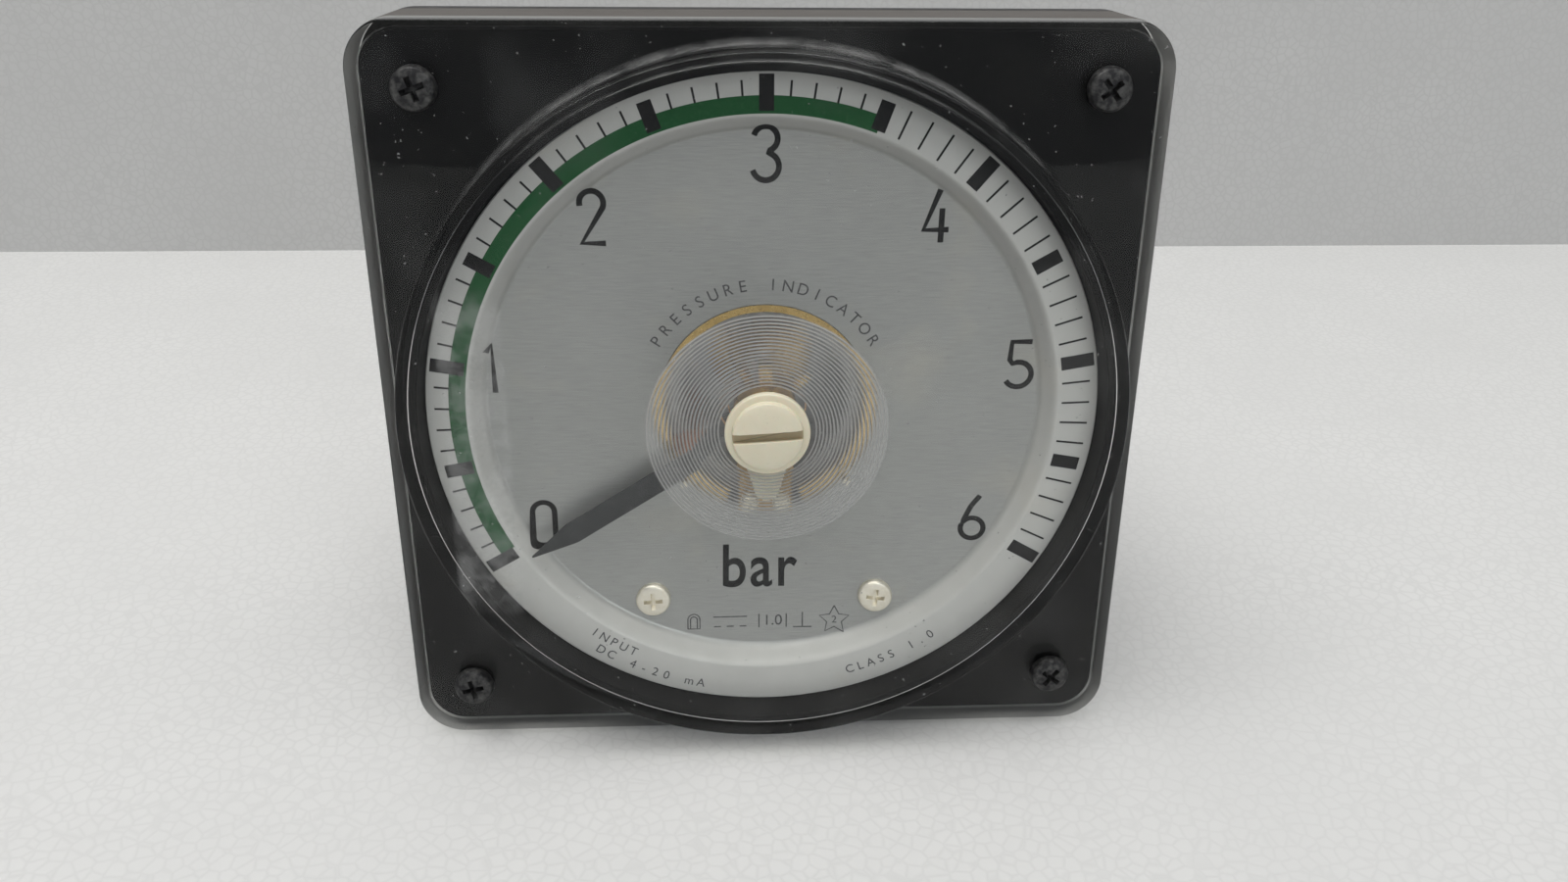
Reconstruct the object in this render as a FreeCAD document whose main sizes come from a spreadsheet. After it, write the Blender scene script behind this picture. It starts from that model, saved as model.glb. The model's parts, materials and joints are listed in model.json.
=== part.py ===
import FreeCAD, Part
import math
import os
import re

import Sketcher

# A square panel-mounted dial indicator with a wide-angle moving-coil movement.
# Millimetres. The origin is the centre of the panel seat (the rear face of the square flange):
# +Z is up, -Y points at the reader and +Y goes into the panel.
# "front" and "rear" are places along Y, so a front is the smaller number.

Vector = FreeCAD.Vector
Rotation = FreeCAD.Rotation
Placement = FreeCAD.Placement

SIZES = {
    # square front
    "flange_w": 110, "flange_corner": 7, "flange_t": 15, "lip_t": 3,
    "skirt_wall": 1.4, "face_wall": 2, "seal_t": 0.6, "slack": 0.2,
    "rim_wall": 2, "rim_corner": 3, "rim_front": -10, "frame_bore": 48.6, "cement_gap": 1.2,
    "boss_x": 46, "boss_r": 5.5, "boss_front": -11.5,
    "panel_stud_r": 2.5, "panel_stud_root_r": 3.2, "panel_stud_end": 20, "panel_stud_seat": -4,
    "panel_stud_taper": 0.7,
    "cover_screw_r": 1.45, "cover_screw_head_r": 3, "cover_screw_head": 1.9, "cover_screw_end": -5,
    # round window drum on the square cover
    "drum_r": 51.6, "drum_wall": 1.4, "drum_front": -22.8, "window_t": 2, "drum_edge": 0.5,
    "ring_first": 6.7, "ring_pitch": 0.5, "ring_wide": 0.2, "ring_deep": 0.06, "ring_rise": 0.02,
    "collar_in": 48.9, "collar_out": 50,
    # zero adjuster in the middle of the window
    "knob_r": 6.05, "knob_cap_r": 5, "knob_front": -25.3, "knob_step": -24, "knob_seat": -22.9,
    "knob_stem_r": 4.02, "knob_hole_r": 4.1, "knob_stub_r": 2.2, "slot_w": 1.1, "slot_deep": 0.9,
    "slot_turn": -3, "o_ring_r": 3.7, "o_ring_wire": 0.36, "o_ring_y": -21.8,
    "o_ring_room": 0.4, "knob_stub_reach": 0.8, "clip_r": 3.4, "clip_t": 0.5, "clip_mouth_w": 1.8,
    "crank_front": -20.7, "crank_t": 1.2, "crank_root_r": 4.4, "crank_tip_r": 1.85, "crank_pin_z": 9.8,
    "crank_pin_r": 0.8, "crank_pin_end": -15.3,
    # dial
    "dial_r": 48.6, "dial_t": 0.8, "dial_scale": -16.5, "dial_front": -13.3, "bevel_out": 43,
    "bevel_in": 40.4, "dial_hole": 16.4, "dial_screw_x": 17.6, "dial_screw_z": -32.3,
    "dial_screw_r": 1.2, "dial_screw_head_r": 2.7, "dial_screw_head": 1.4, "dial_screw_long": 7,
    "dial_pillar_r": 3.2,
    # brass front plate of the movement and its pillars
    "plate_front": -12.2, "plate_t": 1.2, "plate_in": 15.2, "plate_out": 31,
    "pillar_r": 2.5, "high_pillar_x": 20, "high_pillar_z": 20, "low_pillar_x": 26, "low_pillar_z": -12,
    "base_front": 9.5, "base_rear": 12, "base_r": 45.8, "base_bore": 8.5,
    "stop_place": 15.8, "stop_over": 8.25, "stop_r": 0.48, "spigot_r": 1.5, "bridge_notch_w": 11,
    "lead_way_r": 4, "lead_way_x": 26, "light_way_r": 7, "light_way_z": 35,
    "pillar_screw_r": 1.2, "pillar_screw_head_r": 2.3, "pillar_screw_head": 1.5,
    "hold_screw_r": 1.25, "hold_screw_head_r": 2.6, "hold_screw_head": 1.7,
    "small_screw_r": 0.9, "small_screw_head_r": 1.8, "small_screw_head": 1.2,
    # magnet circuit: an open core ring inside a pole shell, with an annular air gap between them
    "core_in": 13, "core_out": 19.5, "core_front": -8.5, "core_rear": 5.5, "core_gap": 60,
    "shell_in": 21, "shell_out": 24.5, "shell_front": -9.5, "magnet_in": 16.05, "magnet_out": 20.95,
    # moving system
    "rest_angle": -122.5, "spindle_r": 0.6, "spindle_front": -13.2, "spindle_rear": 11.3,
    "coil_in": 10.5, "coil_out": 20.6, "coil_bar": 1.7, "coil_wall": 0.7, "coil_front": -10.2,
    "coil_rear": 7.2, "coil_end": 1, "coil_span": 18,
    "hub_r": 2.2, "needle_low": -11.3, "needle_high": -17, "needle_t": 0.4, "needle_w": 3.4,
    "needle_rise": 9, "needle_top": 12.6, "needle_shoulder": 34.6, "needle_tip": 41.7,
    # bearing bridges and zero lever
    "bridge_front": -15, "bridge_t": 1.4, "jewel_screw_r": 2, "lever_boss_r": 2.8,
    "lever_front": -15.8, "lever_t": 0.7, "spring_in": 1.6, "spring_out": 6.73, "spring_t": 0.14,
    "spring_h": 0.5, "spring_turns": 4, "rear_bridge_t": 1.4, "collet_r": 1.45,
    # barrel behind the panel
    "barrel_r": 49.5, "barrel_wall": 3, "barrel_end": 62, "barrel_chamfer": 1,
    "long_boss_r": 5, "long_boss_place": 42, "terminal_x": 15, "terminal_r": 2.5, "pad_end": 63,
    "pad_w": 52, "pad_h": 20, "mark_z": 15, "mark_long": 4, "mark_wide": 1, "mark_proud": 0.5,
    "terminal_end": 80, "terminal_flats": 8, "tag_t": 0.8, "tag_eye_r": 4.6, "tag_w": 3.2, "tag_top": 11,
    "washer_r": 5, "washer_t": 0.8, "spring_washer_r": 4.4, "spring_washer_t": 1.1, "nut_t": 4,
    # board with the input circuit
    "board_front": 42.4, "board_t": 1.6, "board_w": 56, "board_h": 40, "board_boss_r": 3, "board_screw_r": 1,
    "board_hole_x": 22, "board_hole_z": 14,
    "spool_x": -8, "spool_r": 7, "spool_core_r": 3.5, "spool_long": 12, "spool_flange_t": 1,
    "winding_r": 6.2, "can_x": 10, "can_z": 6, "can_r": 4, "can_long": 13,
    "trimmer_x": 10, "trimmer_z": -9.5, "trimmer_w": 10, "trimmer_h": 7, "trimmer_deep": 5,
}

ALONG_Y = Rotation(Vector(1, 0, 0), -90)
BACK_ALONG_Y = Rotation(Vector(1, 0, 0), 90)
WORD = re.compile(r"[a-z][a-z_]*")

doc = FreeCAD.newDocument("panel_indicator")
dims = doc.addObject("Spreadsheet::Sheet", "dims")
for row, (alias, number) in enumerate(SIZES.items(), 1):
    dims.set(f"A{row}", alias)
    dims.set(f"B{row}", str(number))
    dims.setAlias(f"B{row}", alias)
doc.recompute()

nodes = []


def formula(text):
    """The expression with each size looked up in the sheet."""
    return WORD.sub(lambda found: f"dims.{found[0]}" if found[0] in SIZES else found[0], str(text))


def size(alias):
    """One size from the sheet, as a number."""
    return float(dims.get(alias))


def bind(piece, **sizes):
    """Bind the piece's properties to expressions on the sheet."""
    for name, text in sizes.items():
        piece.setExpression(name, formula(text))
    return piece


def place(piece, x, y, z, turn=None):
    """Turn the piece and put its own origin at x, y, z."""
    if turn:
        piece.Placement = Placement(Vector(), turn)
    for axis, text in zip("xyz", (x, y, z)):
        piece.setExpression(f"Placement.Base.{axis}", formula(text))
    return piece


def about_axis(piece, degrees):
    """Turn the piece about the spindle's axis, clockwise as the reader sees it."""
    piece.Placement = Placement(Vector(), Rotation(Vector(0, 1, 0), degrees))
    return piece


def node(piece, label):
    """Name a finished sub-part, which then goes into a file of its own."""
    piece.Label = label
    nodes.append(piece)
    return piece


# ---- primitives and booleans ----

def block(name, left, right, front, rear, low, high):
    piece = doc.addObject("Part::Box", name)
    bind(piece, Length=f"({right}) - ({left})", Width=f"({rear}) - ({front})", Height=f"({high}) - ({low})")
    return place(piece, left, front, low)


def rod(name, radius, front, rear, x=0, z=0):
    """A cylinder along Y."""
    piece = bind(doc.addObject("Part::Cylinder", name), Radius=radius, Height=f"({rear}) - ({front})")
    return place(piece, x, front, z, ALONG_Y)


def hexagon(name, across, front, rear, x=0, z=0):
    """A hexagonal bar along Y, across flats."""
    piece = bind(doc.addObject("Part::Prism", name), Circumradius=f"({across}) / sqrt(3)",
                 Height=f"({rear}) - ({front})")
    return place(piece, x, front, z, ALONG_Y)


def fuse(name, *pieces):
    piece = doc.addObject("Part::MultiFuse", name)
    piece.Shapes = list(pieces)
    piece.Refine = True
    return piece


def cut(name, base, *tools):
    piece = doc.addObject("Part::Cut", name)
    piece.Base = base
    piece.Tool = tools[0] if len(tools) == 1 else fuse(f"{name}_tools", *tools)
    return piece


def tube(name, outer, inner, front, rear, x=0, z=0):
    bore = rod(f"{name}_bore", inner, f"({front}) - 1", f"({rear}) + 1", x, z)
    return cut(name, rod(f"{name}_bar", outer, front, rear, x, z), bore)


def group(name, pieces):
    """Identical pieces, each a solid of its own, in one node."""
    piece = doc.addObject("Part::Compound", name)
    piece.Links = list(pieces)
    return piece


# ---- bodies from sketches ----

def start_sketch(body, name, plane, rear=0):
    """A sketch on one of the body's own planes. On XZ it is moved back along Y to rear."""
    sketch = body.newObject("Sketcher::SketchObject", name)
    sketch.AttachmentSupport = (next(o for o in body.Origin.OriginFeatures if o.Role == plane), [""])
    sketch.MapMode = "FlatFace"
    if plane == "XZ_Plane":
        sketch.setExpression("AttachmentOffset.Base.z", formula(f"-({rear})"))
    return sketch


def dimension(sketch, kind, text, *ends, start=1.0):
    """A driving dimension bound to the sheet. start is its value until the sheet is read."""
    index = sketch.addConstraint(Sketcher.Constraint(kind, *ends, float(start)))
    sketch.setExpression(f"Constraints[{index}]", formula(text))


def outline_sketch(body, name, plane, outline, rear=0):
    """A closed outline of straight lines, with every corner dimensioned from the origin."""
    sketch = start_sketch(body, name, plane, rear)
    count = len(outline)
    turns = [2 * math.pi * i / count for i in range(count)]
    ring = [Vector(math.cos(turn), math.sin(turn), 0) for turn in turns]
    for i in range(count):
        sketch.addGeometry(Part.LineSegment(ring[i], ring[(i + 1) % count]), False)
    for i, (across, up) in enumerate(outline):
        sketch.addConstraint(Sketcher.Constraint("Coincident", i, 2, (i + 1) % count, 1))
        for kind, text, axis in (("DistanceX", across, -2), ("DistanceY", up, -1)):
            if text == 0:
                sketch.addConstraint(Sketcher.Constraint("PointOnObject", i, 1, axis))
            else:
                dimension(sketch, kind, text, -1, 1, i, 1)
    return sketch


def revolve(body, name, outline, angle=360, cutting=False):
    """Revolve an outline of (radius, y) points about Y. A part turn is centred on +X."""
    sketch = outline_sketch(body, f"{name}_outline", "XY_Plane", outline)
    feature = body.newObject("PartDesign::Groove" if cutting else "PartDesign::Revolution", name)
    feature.Profile = sketch
    feature.ReferenceAxis = (sketch, ["V_Axis"])
    feature.setExpression("Angle", formula(angle))
    feature.Midplane = angle != 360
    return feature


def turned(name, outline, angle=360):
    """A body made in one turning."""
    body = doc.addObject("PartDesign::Body", name)
    revolve(body, f"{name}_turning", outline, angle)
    return body


def extrude(body, name, sketch, depth, cutting=False):
    """Pad a sketch on XZ forward from its plane, or pocket forward from it."""
    feature = body.newObject("PartDesign::Pocket" if cutting else "PartDesign::Pad", name)
    feature.Profile = sketch
    feature.setExpression("Length", formula(depth))
    feature.Reversed = cutting
    return feature


def square(body, name, width, corner, front, rear, cutting=False):
    """A square with rounded corners, centred on the axis, from front to rear."""
    sketch = start_sketch(body, f"{name}_outline", "XZ_Plane", rear)
    half, bend = 50, 6
    flat = half - bend
    for i in range(4):
        turn = Rotation(Vector(0, 0, 1), 90 * i)
        side = Part.LineSegment(turn * Vector(-flat, -half, 0), turn * Vector(flat, -half, 0))
        sketch.addGeometry(side, False)
    for i in range(4):
        centre = Rotation(Vector(0, 0, 1), 90 * i) * Vector(flat, -flat, 0)
        circle = Part.Circle(centre, Vector(0, 0, 1), bend)
        start = math.radians(90 * i - 90)
        sketch.addGeometry(Part.ArcOfCircle(circle, start, start + math.pi / 2), False)
    for i in range(4):
        sketch.addConstraint(Sketcher.Constraint("Tangent", i, 2, 4 + i, 1))
        sketch.addConstraint(Sketcher.Constraint("Tangent", 4 + i, 2, (i + 1) % 4, 1))
        sketch.addConstraint(Sketcher.Constraint("Horizontal" if i % 2 == 0 else "Vertical", i))
    for i in range(1, 4):
        sketch.addConstraint(Sketcher.Constraint("Equal", 4, 4 + i))
    sketch.addConstraint(Sketcher.Constraint("Symmetric", 4, 3, 6, 3, -1, 1))
    dimension(sketch, "Radius", corner, 4, start=bend)
    dimension(sketch, "DistanceY", f"({width}) / 2", -1, 1, 2, 1, start=half)
    dimension(sketch, "DistanceX", f"({width}) / 2", -1, 1, 1, 1, start=half)
    return extrude(body, name, sketch, f"({rear}) - ({front})", cutting)


def corner_holes(body, name, radius, rear):
    """A hole in each corner of the square front, through everything in front of rear."""
    sketch = start_sketch(body, f"{name}_circle", "XZ_Plane", rear)
    sketch.addGeometry(Part.Circle(Vector(40, 40, 0), Vector(0, 0, 1), 1), False)
    dimension(sketch, "DistanceX", "boss_x", -1, 1, 0, 3, start=40)
    dimension(sketch, "DistanceY", "boss_x", -1, 1, 0, 3, start=40)
    dimension(sketch, "Radius", radius, 0)
    hole = extrude(body, f"{name}_hole", sketch, 40, cutting=True)
    pattern = body.newObject("PartDesign::PolarPattern", name)
    pattern.Originals = [hole]
    pattern.Axis = (next(o for o in body.Origin.OriginFeatures if o.Role == "Y_Axis"), [""])
    pattern.Angle = 360
    pattern.Occurrences = 4
    body.Tip = pattern
    return pattern


# ---- fasteners ----

def pan_screw(name, radius, head_r, head, seat, end, x=0, z=0, rear_facing=False):
    """A cross-recessed pan-head screw along Y. Its head seats on y = seat and its shank ends at y = end."""
    way = -1 if rear_facing else 1
    crown = f"({seat}) - ({head}) * {way}"
    shank = rod(f"{name}_shank", radius, *sorted_ends(seat, end, rear_facing), x, z)
    brow = f"({crown}) + ({head}) * 0.4 * {way}"
    rim = rod(f"{name}_rim", head_r, *sorted_ends(brow, seat, rear_facing), x, z)
    dome = doc.addObject("Part::Cone", f"{name}_dome")
    bind(dome, Radius1=head_r, Radius2=f"({head_r}) * 0.72", Height=f"({head}) * 0.6")
    place(dome, x, f"({crown}) + ({head}) * 0.6 * {way}", z, ALONG_Y if rear_facing else BACK_ALONG_Y)
    arm, width, deep = f"({head_r}) * 0.58", f"({head_r}) * 0.14", f"({head}) * 0.7"
    floor = f"({crown}) + {deep} * {way}"
    depth = sorted_ends(f"({crown}) - 1 * {way}", floor, rear_facing)
    cross = [
        block(f"{name}_recess_{axis}", f"({x}) - {w}", f"({x}) + {w}", *depth, f"({z}) - {v}", f"({z}) + {v}")
        for axis, w, v in (("x", arm, width), ("z", width, arm))
    ]
    return cut(name, fuse(f"{name}_blank", shank, rim, dome), *cross)


def sorted_ends(near, far, rear_facing):
    """The two ends as front, rear: a screw driven from behind runs the other way."""
    return (far, near) if rear_facing else (near, far)


def hex_nut(name, across, bore, front, rear, x=0, z=0):
    hole = rod(f"{name}_thread", bore, f"({front}) - 1", f"({rear}) + 1", x, z)
    return cut(name, hexagon(f"{name}_bar", across, front, rear, x, z), hole)


CORNERS = [(f"boss_x * {sx}", f"boss_x * {sz}") for sx in (-1, 1) for sz in (-1, 1)]
DIAL_SCREWS = [(f"dial_screw_x * {sx}", "dial_screw_z") for sx in (-1, 1)]
PLATE_PILLARS = [(f"{end}_pillar_x * {sx}", f"{end}_pillar_z") for end in ("high", "low") for sx in (-1, 1)]
TERMINALS = [(f"terminal_x * {sx}", 0) for sx in (-1, 1)]
BOSS_ANGLES = (60, 180, 300)
LONG_BOSSES = [(f"long_boss_place * sin({a})", f"long_boss_place * cos({a})") for a in BOSS_ANGLES]
BOARD_HOLES = [(f"board_hole_x * {sx}", f"board_hole_z * {sz}") for sx in (-1, 1) for sz in (-1, 1)]
WINDOW_REAR = "drum_front + window_t"
COVER_REAR = "-lip_t - seal_t"


# ---- the square cover, its mask and the case ----

def front_cover():
    """The clear moulded cover: a square tray with a round drum, whose flat end is the window."""
    body = doc.addObject("PartDesign::Body", "front_cover")
    square(body, "tray", "flange_w", "flange_corner", "-flange_t", COVER_REAR)
    doc.recompute()
    square(body, "tray_inside", "flange_w - 2 * skirt_wall", "flange_corner - skirt_wall",
           "-flange_t + face_wall", COVER_REAR, cutting=True)
    revolve(body, "drum", [
        (0, "drum_front"), ("drum_r - drum_edge", "drum_front"), ("drum_r", "drum_front + drum_edge"),
        ("drum_r", "-flange_t + face_wall"), (0, "-flange_t + face_wall")])
    doc.recompute()
    inside = "drum_r - drum_wall"
    revolve(body, "drum_inside", [
        (0, WINDOW_REAR), (inside, WINDOW_REAR), (inside, "-flange_t + face_wall + 1"),
        (0, "-flange_t + face_wall + 1")], cutting=True)
    revolve(body, "knob_hole", [
        (0, "drum_front - 1"), ("knob_hole_r", "drum_front - 1"), ("knob_hole_r", f"{WINDOW_REAR} + 1"),
        (0, f"{WINDOW_REAR} + 1")], cutting=True)
    comb = []
    for i in range(RING_COUNT):
        middle = f"ring_first + ring_pitch * {i + 0.5}"
        comb += [(f"{middle} - ring_wide / 2", "drum_front - ring_rise"), (middle, "drum_front + ring_deep"),
                 (f"{middle} + ring_wide / 2", "drum_front - ring_rise")]
    comb += [(f"ring_first + ring_pitch * {RING_COUNT}", "drum_front - 1"), ("ring_first", "drum_front - 1")]
    revolve(body, "sight_rings", comb, cutting=True)
    corner_holes(body, "screw_holes", "cover_screw_r + slack", "-flange_t + face_wall + 0.5")
    node(body, "front_cover")


RING_COUNT = 21


def bezel_mask():
    """The black moulded mask behind the cover's square face, with a collar up to the window."""
    body = doc.addObject("PartDesign::Body", "bezel_mask")
    front = "-flange_t + face_wall"
    square(body, "mask_plate", "flange_w - 2 * skirt_wall - 2 * slack", "flange_corner - skirt_wall - slack",
           front, "boss_front")
    doc.recompute()
    revolve(body, "collar", [
        (0, f"{WINDOW_REAR} + 0.05"), ("collar_out", f"{WINDOW_REAR} + 0.05"), ("collar_out", "boss_front"),
        (0, "boss_front")])
    doc.recompute()
    revolve(body, "collar_bore", [
        (0, f"{WINDOW_REAR} - 1"), ("collar_in", f"{WINDOW_REAR} - 1"), ("collar_in", "boss_front + 1"),
        (0, "boss_front + 1")], cutting=True)
    corner_holes(body, "mask_holes", "cover_screw_r + slack", "boss_front + 0.5")
    node(body, "bezel_mask")


def front_seal():
    """The rubber frame between the cover's skirt and the case."""
    body = doc.addObject("PartDesign::Body", "front_seal")
    square(body, "seal_sheet", "flange_w - slack", "flange_corner", COVER_REAR, "-lip_t")
    doc.recompute()
    square(body, "seal_window", "flange_w - 2 * skirt_wall", "flange_corner - skirt_wall",
           f"{COVER_REAR} - 1", "-lip_t", cutting=True)
    node(body, "front_seal")


def case_frame():
    """The black moulded frame: square lip, rim inside the cover, corner bosses, and a bore for the barrel."""
    lip = doc.addObject("PartDesign::Body", "frame_lip")
    square(lip, "lip", "flange_w", "flange_corner", "-lip_t", 0)
    rim = doc.addObject("PartDesign::Body", "frame_rim")
    rim_w = "flange_w - 2 * skirt_wall - 4 * slack"
    square(rim, "rim", rim_w, "flange_corner - skirt_wall - 2 * slack", "rim_front", "-lip_t")
    doc.recompute()
    square(rim, "rim_inside", f"{rim_w} - 2 * rim_wall", "rim_corner", "rim_front - 1", "-lip_t",
           cutting=True)
    bosses = [rod("corner_boss", "boss_r", "boss_front", "-lip_t", x, z) for x, z in CORNERS]
    mouth = bind(doc.addObject("Part::Cone", "cement_mouth"), Radius1="frame_bore",
                 Radius2="frame_bore + cement_gap", Height="cement_gap")
    place(mouth, 0, "-cement_gap", 0, ALONG_Y)
    holes = [rod("frame_bore_hole", "frame_bore", "boss_front - 1", 1), mouth]
    holes += [rod("cover_thread", "cover_screw_r + 0.05", "boss_front - 1", "cover_screw_end + 0.5", x, z)
              for x, z in CORNERS]
    holes += [rod("stud_seat", "panel_stud_root_r + 0.05", "panel_stud_seat", 1, x, z) for x, z in CORNERS]
    node(cut("frame_whole", fuse("frame_blank", lip, rim, *bosses), *holes), "case_frame")


def case_barrel():
    """The black moulded barrel. Its neck is cemented into the frame, and its rear wall carries a pad."""
    inside, wall = "barrel_r - barrel_wall", "barrel_end - barrel_wall"
    shell = turned("barrel_shell", [
        (inside, "-lip_t"), ("frame_bore", "-lip_t"), ("frame_bore", 0), ("barrel_r", 0),
        ("barrel_r", "barrel_end - barrel_chamfer"), ("barrel_r - barrel_chamfer", "barrel_end"),
        (0, "barrel_end"), (0, wall), (inside, wall)])
    pad = block("terminal_pad", "-pad_w / 2", "pad_w / 2", "barrel_end - 0.5", "pad_end", "-pad_h / 2",
                "pad_h / 2")
    long_bosses = [rod("long_boss", "long_boss_r", "base_rear", wall, x, z) for x, z in LONG_BOSSES]
    board_bosses = [rod("board_boss", "board_boss_r", "board_front + board_t", wall, x, z)
                    for x, z in BOARD_HOLES]
    solid = fuse("barrel_blank", shell, pad, *long_bosses, *board_bosses, *polarity_marks())
    holes = [rod("terminal_hole", "terminal_r + 0.1", f"{wall} - 1", "pad_end + 1", x, z)
             for x, z in TERMINALS]
    holes += [rod("movement_thread", "hold_screw_r + 0.05", "base_rear - 1", "base_rear + 12", x, z)
              for x, z in LONG_BOSSES]
    holes += [rod("board_thread", "board_screw_r + 0.05", "board_front", "board_front + board_t + 8", x, z)
              for x, z in BOARD_HOLES]
    node(cut("barrel_whole", solid, *holes), "case_barrel")


def polarity_marks():
    """Raised plus and minus signs above the terminals."""
    front, rear = "barrel_end - 0.5", "barrel_end + mark_proud"
    long, wide = "mark_long / 2", "mark_wide / 2"
    strokes = (("plus_across", "-terminal_x", long, wide), ("plus_upright", "-terminal_x", wide, long),
               ("minus_across", "terminal_x", long, wide))
    return [block(name, f"{x} - {across}", f"{x} + {across}", front, rear, f"mark_z - {up}", f"mark_z + {up}")
            for name, x, across, up in strokes]


def front_fasteners():
    """Four cover screws, and the four studs that pull the flange against its panel."""
    screws = [pan_screw("cover_screw", "cover_screw_r", "cover_screw_head_r", "cover_screw_head", "-flange_t",
                        "cover_screw_end", x, z) for x, z in CORNERS]
    node(group("cover_screw_set", screws), "cover_screws")
    studs = []
    for x, z in CORNERS:
        root = rod("panel_stud_root", "panel_stud_root_r", "panel_stud_seat", 0, x, z)
        bar = rod("panel_stud_bar", "panel_stud_r", 0, "panel_stud_end - panel_stud_taper", x, z)
        tip = bind(doc.addObject("Part::Cone", "panel_stud_tip"), Radius1="panel_stud_r",
                   Radius2="panel_stud_r - panel_stud_taper", Height="panel_stud_taper")
        place(tip, x, "panel_stud_end - panel_stud_taper", z, ALONG_Y)
        studs.append(fuse("panel_stud", root, bar, tip))
    node(group("panel_stud_set", studs), "mounting_studs")


# ---- zero adjuster: a slotted knob in the window, whose crank moves the zero lever ----

def zero_adjuster():
    """The slotted knob, which turns in the window, and the rubber ring that holds its setting."""
    edge = 0.4
    groove = "o_ring_r - o_ring_wire - 0.02"
    stub, stub_end = "knob_stub_r", "crank_front + crank_t + knob_stub_reach"
    knob = turned("knob", [
        (0, "knob_front"), (f"knob_cap_r - {edge}", "knob_front"), ("knob_cap_r", f"knob_front + {edge}"),
        ("knob_cap_r", "knob_step"), (f"knob_r - {edge}", "knob_step"), ("knob_r", f"knob_step + {edge}"),
        ("knob_r", "knob_seat"), ("knob_stem_r", "knob_seat"), ("knob_stem_r", "o_ring_y - o_ring_room"),
        (groove, "o_ring_y - o_ring_room"), (groove, "o_ring_y + o_ring_room"),
        ("knob_stem_r", "o_ring_y + o_ring_room"), ("knob_stem_r", "crank_front"), (stub, "crank_front"),
        (stub, stub_end), (0, stub_end)])
    slot = block("driver_slot", -10, 10, "knob_front - 1", "knob_front + slot_deep", 0, "slot_w")
    turn = Rotation(Vector(0, 1, 0), size("slot_turn"))
    slot.Placement = Placement(Vector(), turn)
    middle = turn * Vector(-10, 0, -size("slot_w") / 2)
    place(slot, middle.x, "knob_front - 1", middle.z)
    node(cut("zero_knob", knob, slot), "zero_adjuster")

    seal = bind(doc.addObject("Part::Torus", "o_ring"), Radius1="o_ring_r", Radius2="o_ring_wire")
    node(place(seal, 0, "o_ring_y", 0, ALONG_Y), "adjuster_seal")


def zero_crank():
    """A drop-shaped arm that hangs from the knob, with a pin that drives the zero lever."""
    body = doc.addObject("PartDesign::Body", "crank_arm")
    rear = "crank_front + crank_t"
    sketch = start_sketch(body, "drop_outline", "XZ_Plane", rear)
    root, tip, drop = size("crank_root_r"), size("crank_tip_r"), -size("crank_pin_z")
    up = Vector(0, 0, 1)
    top, bottom = Part.Circle(Vector(), up, root), Part.Circle(Vector(0, drop, 0), up, tip)
    sketch.addGeometry(Part.ArcOfCircle(top, -0.25, math.pi + 0.25), False)
    sketch.addGeometry(Part.ArcOfCircle(bottom, math.pi + 0.25, -0.25), False)
    for side in (-1, 1):
        sketch.addGeometry(Part.LineSegment(Vector(side * root, -1, 0), Vector(side * tip, drop, 0)), False)
    for arc, line, arc_end, line_end in ((0, 2, 2, 1), (1, 2, 1, 2), (0, 3, 1, 1), (1, 3, 2, 2)):
        sketch.addConstraint(Sketcher.Constraint("Tangent", arc, arc_end, line, line_end))
    sketch.addConstraint(Sketcher.Constraint("Coincident", 0, 3, -1, 1))
    sketch.addConstraint(Sketcher.Constraint("PointOnObject", 1, 3, -2))
    dimension(sketch, "Radius", "crank_root_r", 0, start=root)
    dimension(sketch, "Radius", "crank_tip_r", 1, start=tip)
    dimension(sketch, "DistanceY", "crank_pin_z", 1, 3, -1, 1, start=-drop)
    extrude(body, "drop", sketch, "crank_t")
    pin = rod("crank_pin", "crank_pin_r", rear, "crank_pin_end", 0, "-crank_pin_z")
    hole = rod("crank_hole", "knob_stub_r + 0.05", "crank_front - 1", f"{rear} + 1")
    node(cut("crank_whole", fuse("crank_blank", body, pin), hole), "zero_crank")
    clip = tube("clip_ring", "clip_r", "knob_stub_r + 0.05", rear, f"{rear} + clip_t")
    mouth = block("clip_mouth", "-clip_mouth_w / 2", "clip_mouth_w / 2", f"{rear} - 1", f"{rear} + 1", 1,
                  "clip_r + 1")
    node(cut("clip", clip, mouth), "crank_clip")


# ---- dial ----

def dial():
    """The dished aluminium dial: a flat centre, a bevel, and a raised band for the scale."""
    plate = turned("dial_disc", [
        ("dial_hole", "dial_front"), ("bevel_in", "dial_front"), ("bevel_out", "dial_scale"),
        ("dial_r", "dial_scale"), ("dial_r", "dial_scale + dial_t"),
        ("bevel_out + 0.3", "dial_scale + dial_t"), ("bevel_in + 0.3", "dial_front + dial_t"),
        ("dial_hole", "dial_front + dial_t")])
    holes = [rod("dial_screw_hole", "dial_screw_r + slack", "dial_front - 1", "dial_front + 2", x, z)
             for x, z in DIAL_SCREWS]
    node(cut("dial_whole", plate, *holes), "dial_plate")
    screws = [pan_screw("dial_screw", "dial_screw_r", "dial_screw_head_r", "dial_screw_head", "dial_front",
                        "dial_front + dial_screw_long", x, z) for x, z in DIAL_SCREWS]
    node(group("dial_screw_set", screws), "dial_screws")
    pillars = []
    for x, z in DIAL_SCREWS:
        bar = rod("dial_pillar_bar", "dial_pillar_r", "dial_front + dial_t", "base_front", x, z)
        front_hole = rod("dial_pillar_front_thread", "dial_screw_r + 0.05", "dial_front",
                         "dial_front + dial_screw_long + 2", x, z)
        rear_hole = rod("dial_pillar_rear_thread", "pillar_screw_r + 0.05", "base_front - 7",
                        "base_front + 1", x, z)
        pillars.append(cut("dial_pillar", bar, front_hole, rear_hole))
    node(group("dial_pillar_set", pillars), "dial_pillars")


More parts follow.
